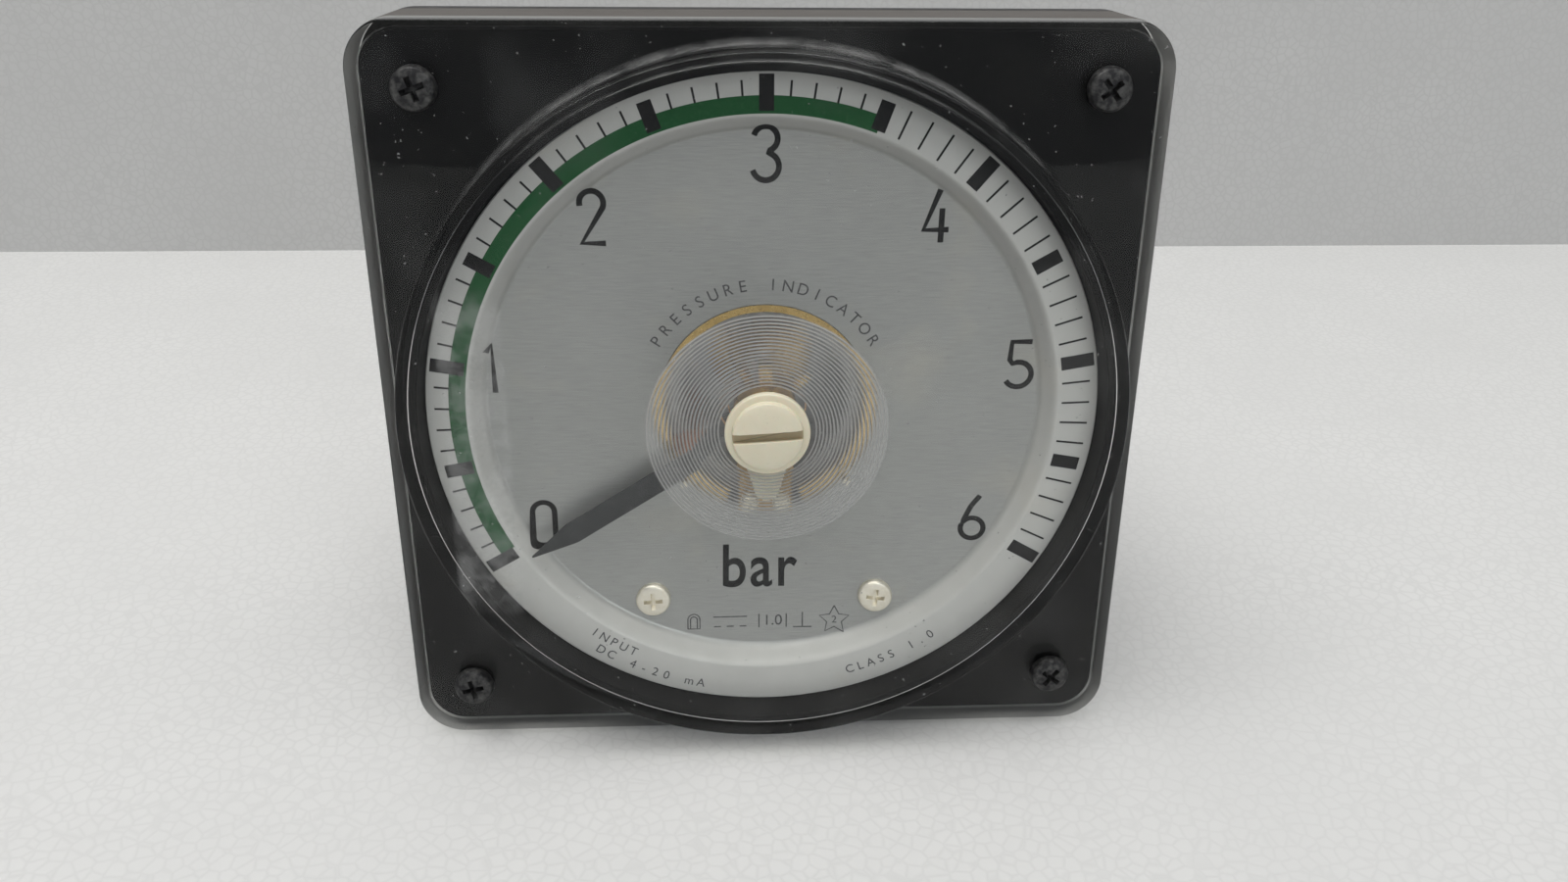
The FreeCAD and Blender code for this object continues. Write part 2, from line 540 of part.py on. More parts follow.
# ---- frame of the movement ----

def movement_frame():
    """The base plate, four pillars, the brass front plate and the two stops for the pointer."""
    plate_rear = "plate_front + plate_t"
    ring = tube("front_ring", "plate_out", "plate_in", "plate_front", plate_rear)
    notch = block("bridge_notch", "-bridge_notch_w / 2", "bridge_notch_w / 2", "plate_front - 1",
                  "plate_front + 3", "-plate_in - 2.8", "-plate_in + 3.2")
    seats = [rod("spigot_seat", "spigot_r + 0.05", "plate_front - 1", "plate_front + 3", x, z)
             for x, z in PLATE_PILLARS]
    stop_angle = "stop_over - rest_angle"
    stops = [(f"stop_place * sin({stop_angle}) * {side}", f"stop_place * cos({stop_angle})")
             for side in (-1, 1)]
    stop_seats = [rod("stop_seat", "stop_r + 0.02", "plate_front - 1", "plate_front + 3", x, z)
                  for x, z in stops]
    node(cut("front_plate_whole", ring, notch, *seats, *stop_seats), "front_plate")
    pins = [rod("stop_pin", "stop_r", "needle_high - 0.6", plate_rear, x, z) for x, z in stops]
    node(group("stop_pin_set", pins), "stop_pins")

    pillars = []
    for x, z in PLATE_PILLARS:
        bar = rod("pillar_bar", "pillar_r", plate_rear, "base_front", x, z)
        spigot = rod("pillar_spigot", "spigot_r", "plate_front", f"{plate_rear} + 1", x, z)
        thread = rod("pillar_thread", "pillar_screw_r + 0.05", "base_front - 7", "base_front + 1", x, z)
        pillars.append(cut("pillar", fuse("pillar_blank", bar, spigot), thread))
    node(group("pillar_set", pillars), "plate_pillars")

    disc = tube("base_disc", "base_r", "base_bore", "base_front", "base_rear")
    ways = [("screw_hole", "hold_screw_r + 0.15", x, z) for x, z in PLATE_PILLARS + DIAL_SCREWS + LONG_BOSSES]
    ways += [("shell_screw_hole", "small_screw_r + slack", x, z) for x, z in SHELL_SCREWS]
    ways += [("bridge_thread", "small_screw_r + 0.05", f"{BRIDGE_X} * {side}", 0) for side in (-1, 1)]
    ways += [("lead_way", "lead_way_r", f"lead_way_x * {side}", "-lead_way_x") for side in (-1, 1)]
    ways.append(("light_way", "light_way_r", 0, "light_way_z"))
    holes = [rod(name, radius, "base_front - 1", "base_rear + 1", x, z) for name, radius, x, z in ways]
    node(cut("base_whole", disc, *holes), "movement_base")

    rear_screws = [
        pan_screw("pillar_screw", "pillar_screw_r", "pillar_screw_head_r", "pillar_screw_head", "base_rear",
                  "base_front - 5", x, z, True) for x, z in PLATE_PILLARS + DIAL_SCREWS]
    node(group("pillar_screw_set", rear_screws), "pillar_screws")
    hold = [pan_screw("movement_screw", "hold_screw_r", "hold_screw_head_r", "hold_screw_head", "base_front",
                      "base_rear + 10", x, z) for x, z in LONG_BOSSES]
    node(group("movement_screw_set", hold), "movement_screws")


SHELL_MIDDLE = "(shell_in + shell_out) / 2"
SHELL_SCREW_ANGLES = (0, 105, 255)
SHELL_SCREWS = [(f"{SHELL_MIDDLE} * sin({a})", f"{SHELL_MIDDLE} * cos({a})") for a in SHELL_SCREW_ANGLES]
BRIDGE_X = 12


def magnet_circuit():
    """The iron and the magnet: the coil's outer side swings in the gap between core ring and shell."""
    shell = turned("shell_ring", [
        ("shell_in", "shell_front"), ("shell_out", "shell_front"), ("shell_out", "base_front"),
        ("shell_in", "base_front")])
    threads = [rod("shell_thread", "small_screw_r + 0.05", "base_front - 6", "base_front + 1", x, z)
               for x, z in SHELL_SCREWS]
    node(cut("shell_whole", shell, *threads), "pole_shell")
    screws = [pan_screw("shell_screw", "small_screw_r", "small_screw_head_r", "small_screw_head", "base_rear",
                        "base_front - 4.5", x, z, True) for x, z in SHELL_SCREWS]
    node(group("shell_screw_set", screws), "shell_screws")

    up, down = -90, 90
    core = turned("core_ring_body", [
        ("core_in", "core_front"), ("core_out", "core_front"), ("core_out", "core_rear"),
        ("core_in", "core_rear")], angle="360 - core_gap")
    node(about_axis(core, up), "core_ring")
    foot = turned("foot_sector", [
        ("core_in", "core_front"), ("magnet_in - 0.05", "core_front"), ("magnet_in - 0.05", "base_front"),
        ("core_in", "base_front")], angle="core_gap")
    about_axis(foot, down)
    threads = [rod("foot_thread", 0.85, "core_front - 1", "core_front + 5", x, BRIDGE_SCREW_Z)
               for x in BRIDGE_SCREW_X]
    node(cut("foot_whole", foot, *threads), "core_foot")
    magnet = turned("magnet_sector", [
        ("magnet_in", "core_front"), ("magnet_out", "core_front"), ("magnet_out", "base_front"),
        ("magnet_in", "base_front")], angle="core_gap - 16")
    node(about_axis(magnet, down), "magnet")


BRIDGE_SCREW_X = (-2.4, 2.4)
BRIDGE_SCREW_Z = -14.5


# ---- bearings, hairsprings and zero lever ----

def jewel_screw(name, crown, tip, way):
    """A slotted bearing screw along Y. way is 1 when its jewel faces the rear."""
    slot_floor = f"({crown}) + 0.7 * {way}"
    cup = f"({tip}) - 1.2 * {way}"
    bar = turned(f"{name}_bar", [
        (0, crown), ("jewel_screw_r", crown), ("jewel_screw_r", tip), (1.25, tip), (1.25, cup), (0, cup)])
    slot_ends = sorted_ends(f"({crown}) - 1 * {way}", slot_floor, way < 0)
    slot = block(f"{name}_slot", -3, 3, *slot_ends, -0.25, 0.25)
    return cut(name, bar, slot)


def jewel(name, tip, way):
    """A cup of ruby for a pivot to turn in."""
    back, cup, mouth = f"({tip}) - 1.2 * {way}", f"({tip}) - 0.8 * {way}", f"({tip}) - 0.1 * {way}"
    return turned(name, [(0, back), (1.2, back), (1.2, mouth), (0.7, mouth), (0, cup)])


FRONT_TIP, REAR_TIP = "bridge_front + 1.6", "base_rear - 0.5"


def bearings():
    """Both bridges, their jewel screws and lock nuts."""
    front, rear = "bridge_front", "bridge_front + bridge_t"
    arm = block("front_arm", -4, 4, front, rear, -15.8, 0)
    eye = rod("front_eye", 4.5, front, rear)
    riser = block("front_riser", -4, 4, front, "core_front", -15.8, -13.2)
    boss = rod("lever_boss", "lever_boss_r", "lever_front - 0.1", front)
    holes = [rod("front_bearing_thread", "jewel_screw_r + 0.05", "lever_front - 1", f"{rear} + 1")]
    holes += [rod("front_bridge_hole", 0.9, f"{front} - 1", "core_front + 1", x, BRIDGE_SCREW_Z)
              for x in BRIDGE_SCREW_X]
    node(cut("front_bridge_whole", fuse("front_bridge_blank", arm, eye, riser, boss), *holes), "front_bridge")
    low, high = "base_rear", "base_rear + rear_bridge_t"
    strip = fuse("rear_blank", block("rear_strip", -15, 15, low, high, -4, 4),
                 rod("rear_spring_post", 0.5, REAR_SPRING_FRONT, low, "spring_out + spring_t / 2 + 0.5", 0))
    holes = [rod("rear_bearing_thread", "jewel_screw_r + 0.05", f"{low} - 1", f"{high} + 1")]
    holes += [rod("rear_bridge_hole", 0.95, f"{low} - 1", f"{high} + 1", x, 0) for x in (-BRIDGE_X, BRIDGE_X)]
    node(cut("rear_bridge_whole", strip, *holes), "rear_bridge")
    screws = [pan_screw("front_bridge_screw", 0.8, 1.4, 0.8, front, "core_front + 4", x, BRIDGE_SCREW_Z)
              for x in BRIDGE_SCREW_X]
    screws += [pan_screw("rear_bridge_screw", "small_screw_r", "small_screw_head_r", "small_screw_head", high,
                         "base_front + 0.2", x, 0, True) for x in (-BRIDGE_X, BRIDGE_X)]
    node(group("bridge_screw_set", screws), "bridge_screws")

    node(jewel_screw("front_bearing_screw", "lever_front - 1.6", FRONT_TIP, 1), "front_jewel_screw")
    node(jewel_screw("rear_bearing_screw", "base_rear + 3.6", REAR_TIP, -1), "rear_jewel_screw")
    jewels = [jewel("front_jewel", FRONT_TIP, 1), jewel("rear_jewel", REAR_TIP, -1)]
    node(group("jewel_set", jewels), "jewels")
    nuts = [hex_nut("front_lock_nut", 5.6, "jewel_screw_r + 0.05", "lever_front - 1.1", "lever_front - 0.1"),
            hex_nut("rear_lock_nut", 5.6, "jewel_screw_r + 0.05", high, f"{high} + 1.2")]
    node(group("lock_nut_set", nuts), "jewel_lock_nuts")


def zero_lever():
    """A brass lever on the front bridge's boss: its fork takes the crank pin, its tab the hairspring."""
    front, rear = "lever_front", "lever_front + lever_t"
    ring = rod("lever_ring", 4.6, front, rear)
    fork = block("lever_fork", -2, 2, front, rear, -11.6, 0)
    tab_arm = block("lever_tab_arm", -1, 1, front, rear, 0, 7.5)
    tab = block("lever_tab", -1, 1, front, SPRING_FRONT_REAR, 6.8, 7.5)
    eye = rod("lever_eye", "lever_boss_r + 0.08", f"{front} - 1", f"{rear} + 1")
    way = "crank_pin_r + 0.05"
    slot = block("fork_slot", f"-({way})", way, f"{front} - 1", f"{rear} + 1", -12, -8.4)
    node(cut("lever_whole", fuse("lever_blank", ring, fork, tab_arm, tab), eye, slot), "zero_lever")


SPRING_FRONT = "spindle_front"
SPRING_FRONT_REAR = f"{SPRING_FRONT} + spring_h"
REAR_SPRING_FRONT = "base_front + 0.3"


def hairspring(name, front, label, turn):
    """A flat spiral strip of semicircles, each with a larger radius than the one before."""
    inner, outer, thick = size("spring_in"), size("spring_out"), size("spring_t")
    halves = 2 * int(size("spring_turns"))
    step = (outer - inner) / halves
    up = Vector(0, 0, 1)
    edges = []
    for side in (-thick / 2, thick / 2):
        for i in range(halves):
            start_angle = math.pi * (i % 2)
            radius = inner + step * (i + 0.5) + side
            centre = Vector(step / 2 if i % 2 else -step / 2, 0, 0)
            circle = Part.Circle(centre, up, radius)
            edges.append(Part.ArcOfCircle(circle, start_angle, start_angle + math.pi).toShape())
    for radius in (inner, outer):
        near, far = Vector(radius - thick / 2, 0, 0), Vector(radius + thick / 2, 0, 0)
        edges.append(Part.LineSegment(near, far).toShape())
    wire = Part.Wire(Part.__sortEdges__(edges))
    strip = Part.Face(wire).extrude(Vector(0, 0, size("spring_h")))
    spring = doc.addObject("Part::Feature", name)
    spring.Shape = strip
    spring.Placement = Placement(Vector(0, front, 0), Rotation(Vector(0, 1, 0), turn).multiply(ALONG_Y))
    return node(spring, label)


# ---- moving system ----

def on_rotor(piece, label, from_x=False):
    """A piece drawn at twelve o'clock (or at +X), turned to the pointer's rest."""
    about_axis(piece, size("rest_angle") - (90 if from_x else 0))
    return node(piece, label)


def pointer():
    """The lance pointer: a hub, a low arm, a rise through the dial's hole, and the flat blade."""
    body = doc.addObject("PartDesign::Body", "needle_arm")
    thick = "needle_t"
    side = outline_sketch(body, "needle_side", "YZ_Plane", [
        ("needle_low", "hub_r - 0.6"), ("needle_low", "needle_rise"), ("needle_high", "needle_top"),
        ("needle_high", "needle_top + 2"), (f"needle_high + {thick}", "needle_top + 2"),
        (f"needle_high + {thick}", "needle_top + 0.3"), (f"needle_low + {thick}", "needle_rise + 0.3"),
        (f"needle_low + {thick}", "hub_r - 0.6")])
    pad = body.newObject("PartDesign::Pad", "needle_strip")
    pad.Profile = side
    pad.setExpression("Length", formula("needle_w * 0.8"))
    pad.Midplane = True
    blade = doc.addObject("PartDesign::Body", "needle_blade")
    half = "needle_w / 2"
    lance = outline_sketch(blade, "lance_outline", "XZ_Plane", [
        (f"-{half}", "needle_top + 0.4"), (half, "needle_top + 0.4"), (half, "needle_shoulder"),
        (0.12, "needle_tip"), (-0.12, "needle_tip"), (f"-{half}", "needle_shoulder")],
        rear=f"needle_high + {thick}")
    extrude(blade, "lance", lance, thick)
    hub = rod("needle_hub", "hub_r", "needle_low - 0.5", "needle_low + 0.9")
    arms = [rod("weight_arm", 0.3, 0, 7), rod("weight_arm", 0.3, 0, 7), rod("weight_arm", 0.3, 0, 8.3)]
    for arm, degrees in zip(arms, ARM_ANGLES):
        point_out(arm, degrees)
    bore = rod("needle_bore", "spindle_r + 0.02", "needle_low - 2", "needle_low + 2")
    on_rotor(cut("needle_whole", fuse("needle_blank", body, blade, hub, *arms), bore), "pointer")
    weights = [tube("weight", 0.85, 0.32, start, start + 2.2) for start in (4.4, 4.4, 5.6)]
    for weight, degrees in zip(weights, ARM_ANGLES):
        weight.Placement = out_turn(degrees)
    on_rotor(group("weight_set", weights), "balance_weights")


ARM_ANGLES = (90, 270, 180)


def out_turn(degrees):
    """The placement that turns a piece along +Y to point out from the spindle, at the pointer's level."""
    level = size("needle_low") + size("needle_t") / 2
    swing = Rotation(Vector(0, 1, 0), degrees).multiply(Rotation(Vector(1, 0, 0), 90))
    return Placement(Vector(0, level, 0), swing)


def point_out(arm, degrees):
    """Turn a rod that starts on the origin to point out from the spindle."""
    arm.setExpression("Placement.Base.y", None)
    arm.Placement = Placement(out_turn(degrees).Base, out_turn(degrees).Rotation.multiply(ALONG_Y))


def moving_coil():
    """The spindle, and the coil that threads the core ring."""
    tip, cone = 0.95, 0.3
    bar = turned("spindle_bar", [
        (0, f"spindle_front - {tip}"), (cone, "spindle_front"), ("spindle_r", f"spindle_front + {cone}"),
        ("spindle_r", f"spindle_rear - {cone}"), (cone, "spindle_rear"), (0, f"spindle_rear + {tip}")])
    node(bar, "spindle")

    coil = doc.addObject("PartDesign::Body", "coil_loop")
    revolve(coil, "coil_outside", [
        ("coil_in", "coil_front"), ("coil_out", "coil_front"), ("coil_out", "coil_rear"),
        ("coil_in", "coil_rear")], angle="coil_span")
    doc.recompute()
    inside, outside = "coil_in + coil_bar", "coil_out - coil_wall"
    revolve(coil, "coil_inside", [
        (inside, "coil_front + coil_end"), (outside, "coil_front + coil_end"),
        (outside, "coil_rear - coil_end"), (inside, "coil_rear - coil_end")],
        angle="coil_span + 4", cutting=True)
    on_rotor(coil, "moving_coil", from_x=True)

    saddle = turned("coil_saddle", [
        ("coil_in - 0.6", "coil_front"), ("coil_in", "coil_front"), ("coil_in", "coil_rear"),
        ("coil_in - 0.6", "coil_rear")], angle="coil_span")
    about_axis(saddle, -90)
    strips, hubs = [], []
    for start in ("coil_front", "coil_rear - 0.8"):
        strips.append(block("coil_arm", -1.4, 1.4, start, f"{start} + 0.8", 0.8, "coil_in - 0.2"))
        hubs.append(rod("coil_hub", 1.9, start, f"{start} + 0.8"))
    bore = rod("coil_bore", "spindle_r + 0.02", "coil_front - 1", "coil_rear + 1")
    on_rotor(cut("carrier_whole", fuse("carrier_blank", saddle, *strips, *hubs), bore), "coil_carrier")

    fit = "spindle_r + 0.02"
    collets = [tube("front_collet", "collet_r", fit, SPRING_FRONT, SPRING_FRONT_REAR),
               tube("rear_collet", "collet_r", fit, REAR_SPRING_FRONT, f"{REAR_SPRING_FRONT} + spring_h")]
    node(group("collet_set", collets), "spring_collets")


# ---- rear: input board, terminals and leads ----

def board():
    """The insulating board with its wire-wound shunt, capacitor, trimmer and screws."""
    rear = "board_front + board_t"
    sheet = block("board_sheet", "-board_w / 2", "board_w / 2", "board_front", rear, "-board_h / 2",
                  "board_h / 2")
    holes = [rod("board_hole", "board_screw_r + slack", "board_front - 1", f"{rear} + 1", x, z)
             for x, z in BOARD_HOLES]
    node(cut("board_whole", sheet, *holes), "circuit_board")
    screws = [pan_screw("board_screw", "board_screw_r", 2, 1.3, "board_front", f"{rear} + 6", x, z)
              for x, z in BOARD_HOLES]
    node(group("board_screw_set", screws), "board_screws")

    front, low, high = "board_front - spool_long", "board_front - spool_flange_t", "spool_flange_t"
    spool = [rod("spool_flange", "spool_r", front, f"{front} + {high}", "spool_x", 0),
             rod("spool_core", "spool_core_r", f"{front} + {high}", low, "spool_x", 0),
             rod("spool_flange", "spool_r", low, "board_front", "spool_x", 0)]
    node(fuse("spool_whole", *spool), "shunt_spool")
    gap = 0.05
    winding = tube("winding_tube", "winding_r", f"spool_core_r + {gap}", f"{front} + {high} + {gap}",
                   f"{low} - {gap}", "spool_x", 0)
    node(winding, "shunt_winding")
    node(rod("can", "can_r", "board_front - can_long", "board_front", "can_x", "can_z"), "damping_capacitor")
    top = "board_front - trimmer_deep"
    body = block("trimmer_body", "trimmer_x - trimmer_w / 2", "trimmer_x + trimmer_w / 2", top, "board_front",
                 "trimmer_z - trimmer_h / 2", "trimmer_z + trimmer_h / 2")
    screw_x, screw_r = "trimmer_x + 2", 1.2
    screw = rod("trimmer_screw", screw_r, f"{top} - 1.2", top, screw_x, "trimmer_z")
    slot = block("trimmer_slot", f"{screw_x} - 2", f"{screw_x} + 2", f"{top} - 2", f"{top} - 0.7",
                 "trimmer_z - 0.25", "trimmer_z + 0.25")
    node(cut("trimmer_whole", fuse("trimmer_blank", body, screw), slot), "span_trimmer")


def terminals():
    """Two brass terminal studs through the rear wall, each with a tag, washers and nuts."""
    wall = "barrel_end - barrel_wall"
    tag_front, bore = f"{wall} - tag_t", "terminal_r + 0.05"
    washer = "pad_end + washer_t"
    spring = f"{washer} + spring_washer_t"
    nut = f"{spring} + nut_t"
    outer_washer = f"{nut} + washer_t"
    outer_nut = f"{outer_washer} + nut_t"
    studs, tags, washers, springs, nuts = [], [], [], [], []
    for x, z in TERMINALS:
        head = hexagon("terminal_head", "terminal_flats", f"{tag_front} - 3.5", tag_front, x, z)
        bar = rod("terminal_bar", "terminal_r", tag_front, "terminal_end", x, z)
        studs.append(fuse("terminal_stud", head, bar))
        eye = rod("tag_eye", "tag_eye_r", tag_front, wall, x, z)
        tongue = block("tag_tongue", f"{x} - tag_w / 2", f"{x} + tag_w / 2", tag_front, wall, 3, "tag_top")
        hole = rod("tag_hole", bore, f"{tag_front} - 1", f"{wall} + 1", x, z)
        tags.append(cut("tag", fuse("tag_blank", eye, tongue), hole))
        washers.append(tube("inner_washer", "washer_r", bore, "pad_end", washer, x, z))
        washers.append(tube("outer_washer", "washer_r", bore, nut, outer_washer, x, z))
        split = block("spring_split", f"{x} + 2", f"{x} + 6", "pad_end", f"{spring} + 1", -0.4, 0.4)
        ring = tube("spring_ring", "spring_washer_r", bore, washer, spring, x, z)
        springs.append(cut("spring_washer", ring, split))
        nuts.append(hex_nut("inner_nut", "terminal_flats", bore, spring, nut, x, z))
        nuts.append(hex_nut("outer_nut", "terminal_flats", bore, outer_washer, outer_nut, x, z))
    node(group("terminal_stud_set", studs), "terminal_studs")
    node(group("tag_set", tags), "solder_tags")
    node(group("washer_set", washers), "terminal_washers")
    node(group("spring_washer_set", springs), "terminal_spring_washers")
    node(group("terminal_nut_set", nuts), "terminal_nuts")


def lead(name, route, wire_r, bend):
    """A round insulated wire: straight runs joined by tangent arcs."""
    edges = []
    here = route[0]
    for before, corner, after in zip(route, route[1:], route[2:]):
        into, out = (corner - before).normalize(), (after - corner).normalize()
        half_turn = into.getAngle(out) / 2
        setback = bend * math.tan(half_turn)
        entry, leave = corner - into * setback, corner + out * setback
        inward = (out - into).normalize()
        middle = corner + inward * (bend / math.cos(half_turn) - bend)
        edges += [Part.LineSegment(here, entry).toShape(), Part.Arc(entry, middle, leave).toShape()]
        here = leave
    edges.append(Part.LineSegment(here, route[-1]).toShape())
    path = Part.Wire(edges)
    profile = Part.Wire([Part.Circle(route[0], route[1] - route[0], wire_r).toShape()])
    wire = doc.addObject("Part::Feature", name)
    wire.Shape = path.makePipeShell([profile], True, False)
    return wire


def leads():
    """Red and black leads, from the terminals to the board and from the board to the movement."""
    tag_y = size("barrel_end") - size("barrel_wall") - size("tag_t")
    board_y = size("board_front") + size("board_t")
    base_y = size("base_rear") + size("rear_bridge_t")
    pairs = {}
    for label, side in (("leads_red", -1), ("leads_black", 1)):
        x = side * size("terminal_x")
        up = Vector(x, tag_y - 4, 9.5)
        power = [Vector(x, tag_y, 9.5), up, Vector(side * 8, board_y + 3, 12), Vector(side * 8, board_y, 12)]
        signal = [Vector(side * 16, size("board_front"), -4), Vector(side * 16, 30, -4),
                  Vector(side * 18, 22, -9), Vector(side * 14.2, base_y + 3, -2.6),
                  Vector(side * 14.2, base_y, -2.6)]
        pairs[label] = [lead(f"{label}_power", power, 0.6, 1.8), lead(f"{label}_signal", signal, 0.6, 2.5)]
    for label, wires in pairs.items():
        node(group(f"{label}_set", wires), label)


front_cover()
bezel_mask()
front_seal()
case_frame()
case_barrel()
front_fasteners()
zero_adjuster()
zero_crank()
dial()
movement_frame()
magnet_circuit()
bearings()
zero_lever()
hairspring("spiral_front", size("spindle_front"), "front_hairspring", -90)
hairspring("spiral_rear", size("base_front") + 0.3, "rear_hairspring", 0)
pointer()
moving_coil()
board()
terminals()
leads()
doc.recompute()

for item in doc.Objects:
    if {"Invalid", "Error"} & set(item.State):
        raise RuntimeError(f"{item.Name} did not compute: {item.State}")
for item in nodes:
    if item.Shape.isNull() or not item.Shape.isValid() or not item.Shape.Solids:
        raise RuntimeError(f"{item.Label} is not a valid solid")
os.makedirs("parts", exist_ok=True)
for item in nodes:
    item.Shape.exportStep(os.path.join("parts", f"{item.Label}.step"))
    print(f"{item.Label:24s} {len(item.Shape.Solids):2d} solids {item.Shape.Volume:10.1f} mm3")
print(len(nodes), "nodes")
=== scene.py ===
import json
import math

import bmesh
import bpy
from mathutils import Matrix, Vector


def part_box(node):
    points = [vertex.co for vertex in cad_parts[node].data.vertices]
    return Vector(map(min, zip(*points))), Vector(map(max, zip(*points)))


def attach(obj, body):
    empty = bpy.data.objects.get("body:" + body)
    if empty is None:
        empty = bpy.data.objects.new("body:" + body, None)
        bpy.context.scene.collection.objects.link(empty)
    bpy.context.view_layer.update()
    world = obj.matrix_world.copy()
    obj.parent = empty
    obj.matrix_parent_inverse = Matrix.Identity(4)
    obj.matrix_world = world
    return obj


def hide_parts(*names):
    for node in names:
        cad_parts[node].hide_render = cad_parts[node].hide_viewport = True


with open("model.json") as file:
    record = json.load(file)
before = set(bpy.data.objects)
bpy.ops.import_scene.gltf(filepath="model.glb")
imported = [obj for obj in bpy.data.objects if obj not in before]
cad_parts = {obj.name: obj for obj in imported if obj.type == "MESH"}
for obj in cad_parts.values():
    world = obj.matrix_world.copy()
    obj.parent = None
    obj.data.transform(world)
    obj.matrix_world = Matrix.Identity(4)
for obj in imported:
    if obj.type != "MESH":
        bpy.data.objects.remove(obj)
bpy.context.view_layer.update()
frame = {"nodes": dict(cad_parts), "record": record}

# Looks of a square panel indicator. Shapes are worked out in millimetres and stored in metres.
# The frame is the CAD one: origin in the middle of the panel seat, +Z up, -Y towards the reader.

MM = 0.001
Y_AXIS = Vector((0, 1, 0))


def box_mm(node):
    """The low and high corners of a CAD node's box, in millimetres."""
    low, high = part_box(node)
    return low / MM, high / MM


# ---- sizes, from the frame where it has them ----

COVER_LOW, COVER_HIGH = box_mm("front_cover")
MASK_LOW, MASK_HIGH = box_mm("bezel_mask")
DIAL_LOW, DIAL_HIGH = box_mm("dial_plate")
KNOB_LOW, KNOB_HIGH = box_mm("zero_adjuster")
CRANK_LOW, CRANK_HIGH = box_mm("zero_crank")
SCREW_LOW, SCREW_HIGH = box_mm("cover_screws")

FLANGE_HALF, FLANGE_CORNER, SKIRT_WALL = COVER_HIGH.x, 7.0, 1.4
FACE_Y, FACE_WALL = -15.0, 2.0
WINDOW_Y, WINDOW_T = COVER_LOW.y, 2.0
DRUM_R, DRUM_WALL = 51.6, 1.4
SKIRT_END = COVER_HIGH.y
KNOB_HOLE_R, KNOB_CAP_R = 4.1, 5.0
RING_FIRST, RING_PITCH, RING_COUNT, RING_WIDE, RING_DEEP = 6.7, 0.5, 21, 0.26, 0.06
RINGS_END = RING_FIRST + RING_PITCH * RING_COUNT
COLLAR_IN, COLLAR_OUT = 48.9, 50.0
SCALE_Y, CENTRE_Y, DIAL_T = DIAL_LOW.y, -13.3, 0.8
DIAL_R, DIAL_HOLE_R = DIAL_HIGH.x, 16.4
BEVEL_OUT, BEVEL_IN = 43.0, 40.4
SCREW_SPREAD = 46.0
DIAL_SCREW_X, DIAL_SCREW_Z = 17.6, -32.3
BARREL_R, BARREL_END, TERMINAL_X = 49.5, 62.0, 15.0
M5_RADIUS, M5_PITCH, NUT_ACROSS = 2.5, 0.8, 8.0

SCALE_SWEEP, SCALE_TOP = 240.0, 6
TICK_IN, UNIT_OUT, MINOR_OUT = 43.4, 48.1, 47.4
GREEN_IN, GREEN_OUT, GREEN_TOP = 43.05, 45.4, 3.5
NUMERAL_R = 37.4
POINTER_REST = -122.5
MARK_THICK = 0.02

CORNER_STEPS, ARC_STEPS, FLAT_STEPS = 5, 20, 44
# Height of the built-in font's capitals, as a share of its size.
CAPITAL_SHARE = 0.73


# ---- meshes ----

def linked(name, data):
    """A new object in the scene for some data."""
    obj = bpy.data.objects.new(name, data)
    bpy.context.scene.collection.objects.link(obj)
    return obj


def prism_faces(count, start=0):
    """Faces of a prism whose points are the outline of one end and then that of the other."""
    faces = [tuple(range(start, start + count)), tuple(reversed(range(start + count, start + 2 * count)))]
    for i in range(count):
        j = (i + 1) % count
        faces.append((start + i, start + j, start + count + j, start + count + i))
    return faces


def piece(name, points, faces, material, body, replaces=(), sharp=40):
    """A mesh piece from points in millimetres. Edges sharper than the angle stay sharp."""
    work = bmesh.new()
    corners = [work.verts.new(Vector(p) * MM) for p in points]
    for face in faces:
        work.faces.new([corners[i] for i in face])
    bmesh.ops.remove_doubles(work, verts=work.verts, dist=1e-7)
    bmesh.ops.recalc_face_normals(work, faces=work.faces)
    mesh = bpy.data.meshes.new(name)
    work.to_mesh(mesh)
    work.free()
    return shown(bpy.data.objects.new(name, mesh), material, body, replaces, sharp)


def shown(obj, material, body, replaces=(), sharp=40):
    """Put a finished object in the scene, with its material, its body and the nodes it replaces."""
    if obj.name not in bpy.context.scene.collection.all_objects:
        bpy.context.scene.collection.objects.link(obj)
    obj.data.shade_smooth()
    obj.data.set_sharp_from_angle(angle=math.radians(sharp))
    obj.data.materials.clear()
    obj.data.materials.append(material)
    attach(obj, body)
    if replaces:
        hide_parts(*replaces)
    return obj


def skin(rings, looped=False):
    """Points and faces of a surface through rings that all have the same number of points."""
    count = len(rings[0])
    points = [p for ring in rings for p in ring]
    pairs = list(zip(range(len(rings)), range(1, len(rings))))
    if looped:
        pairs.append((len(rings) - 1, 0))
    faces = [
        (a * count + i, a * count + (i + 1) % count, b * count + (i + 1) % count, b * count + i)
        for a, b in pairs for i in range(count)
    ]
    return points, faces


def circle(radius, y, steps, x, z):
    """Points of a circle about a line along Y."""
    turns = [2 * math.pi * i / steps for i in range(steps)]
    return [(x + radius * math.sin(t), y, z + radius * math.cos(t)) for t in turns]


def rounded(outline):
    """An outline whose corners are (across, along) or (across, along, radius), with the radii put in."""
    path = []
    for i, corner in enumerate(outline):
        here = Vector(corner[:2])
        if len(corner) == 2:
            path.append(here)
            continue
        before = (Vector(outline[i - 1][:2]) - here).normalized()
        after = (Vector(outline[(i + 1) % len(outline)][:2]) - here).normalized()
        half = before.angle(after) / 2
        setback = corner[2] / math.tan(half)
        middle = here + (before + after).normalized() * corner[2] / math.sin(half)
        start, end = here + before * setback - middle, here + after * setback - middle
        for step in range(CORNER_STEPS + 1):
            path.append(middle + start.slerp(end, step / CORNER_STEPS).normalized() * corner[2])
    return [tuple(p) for p in path]


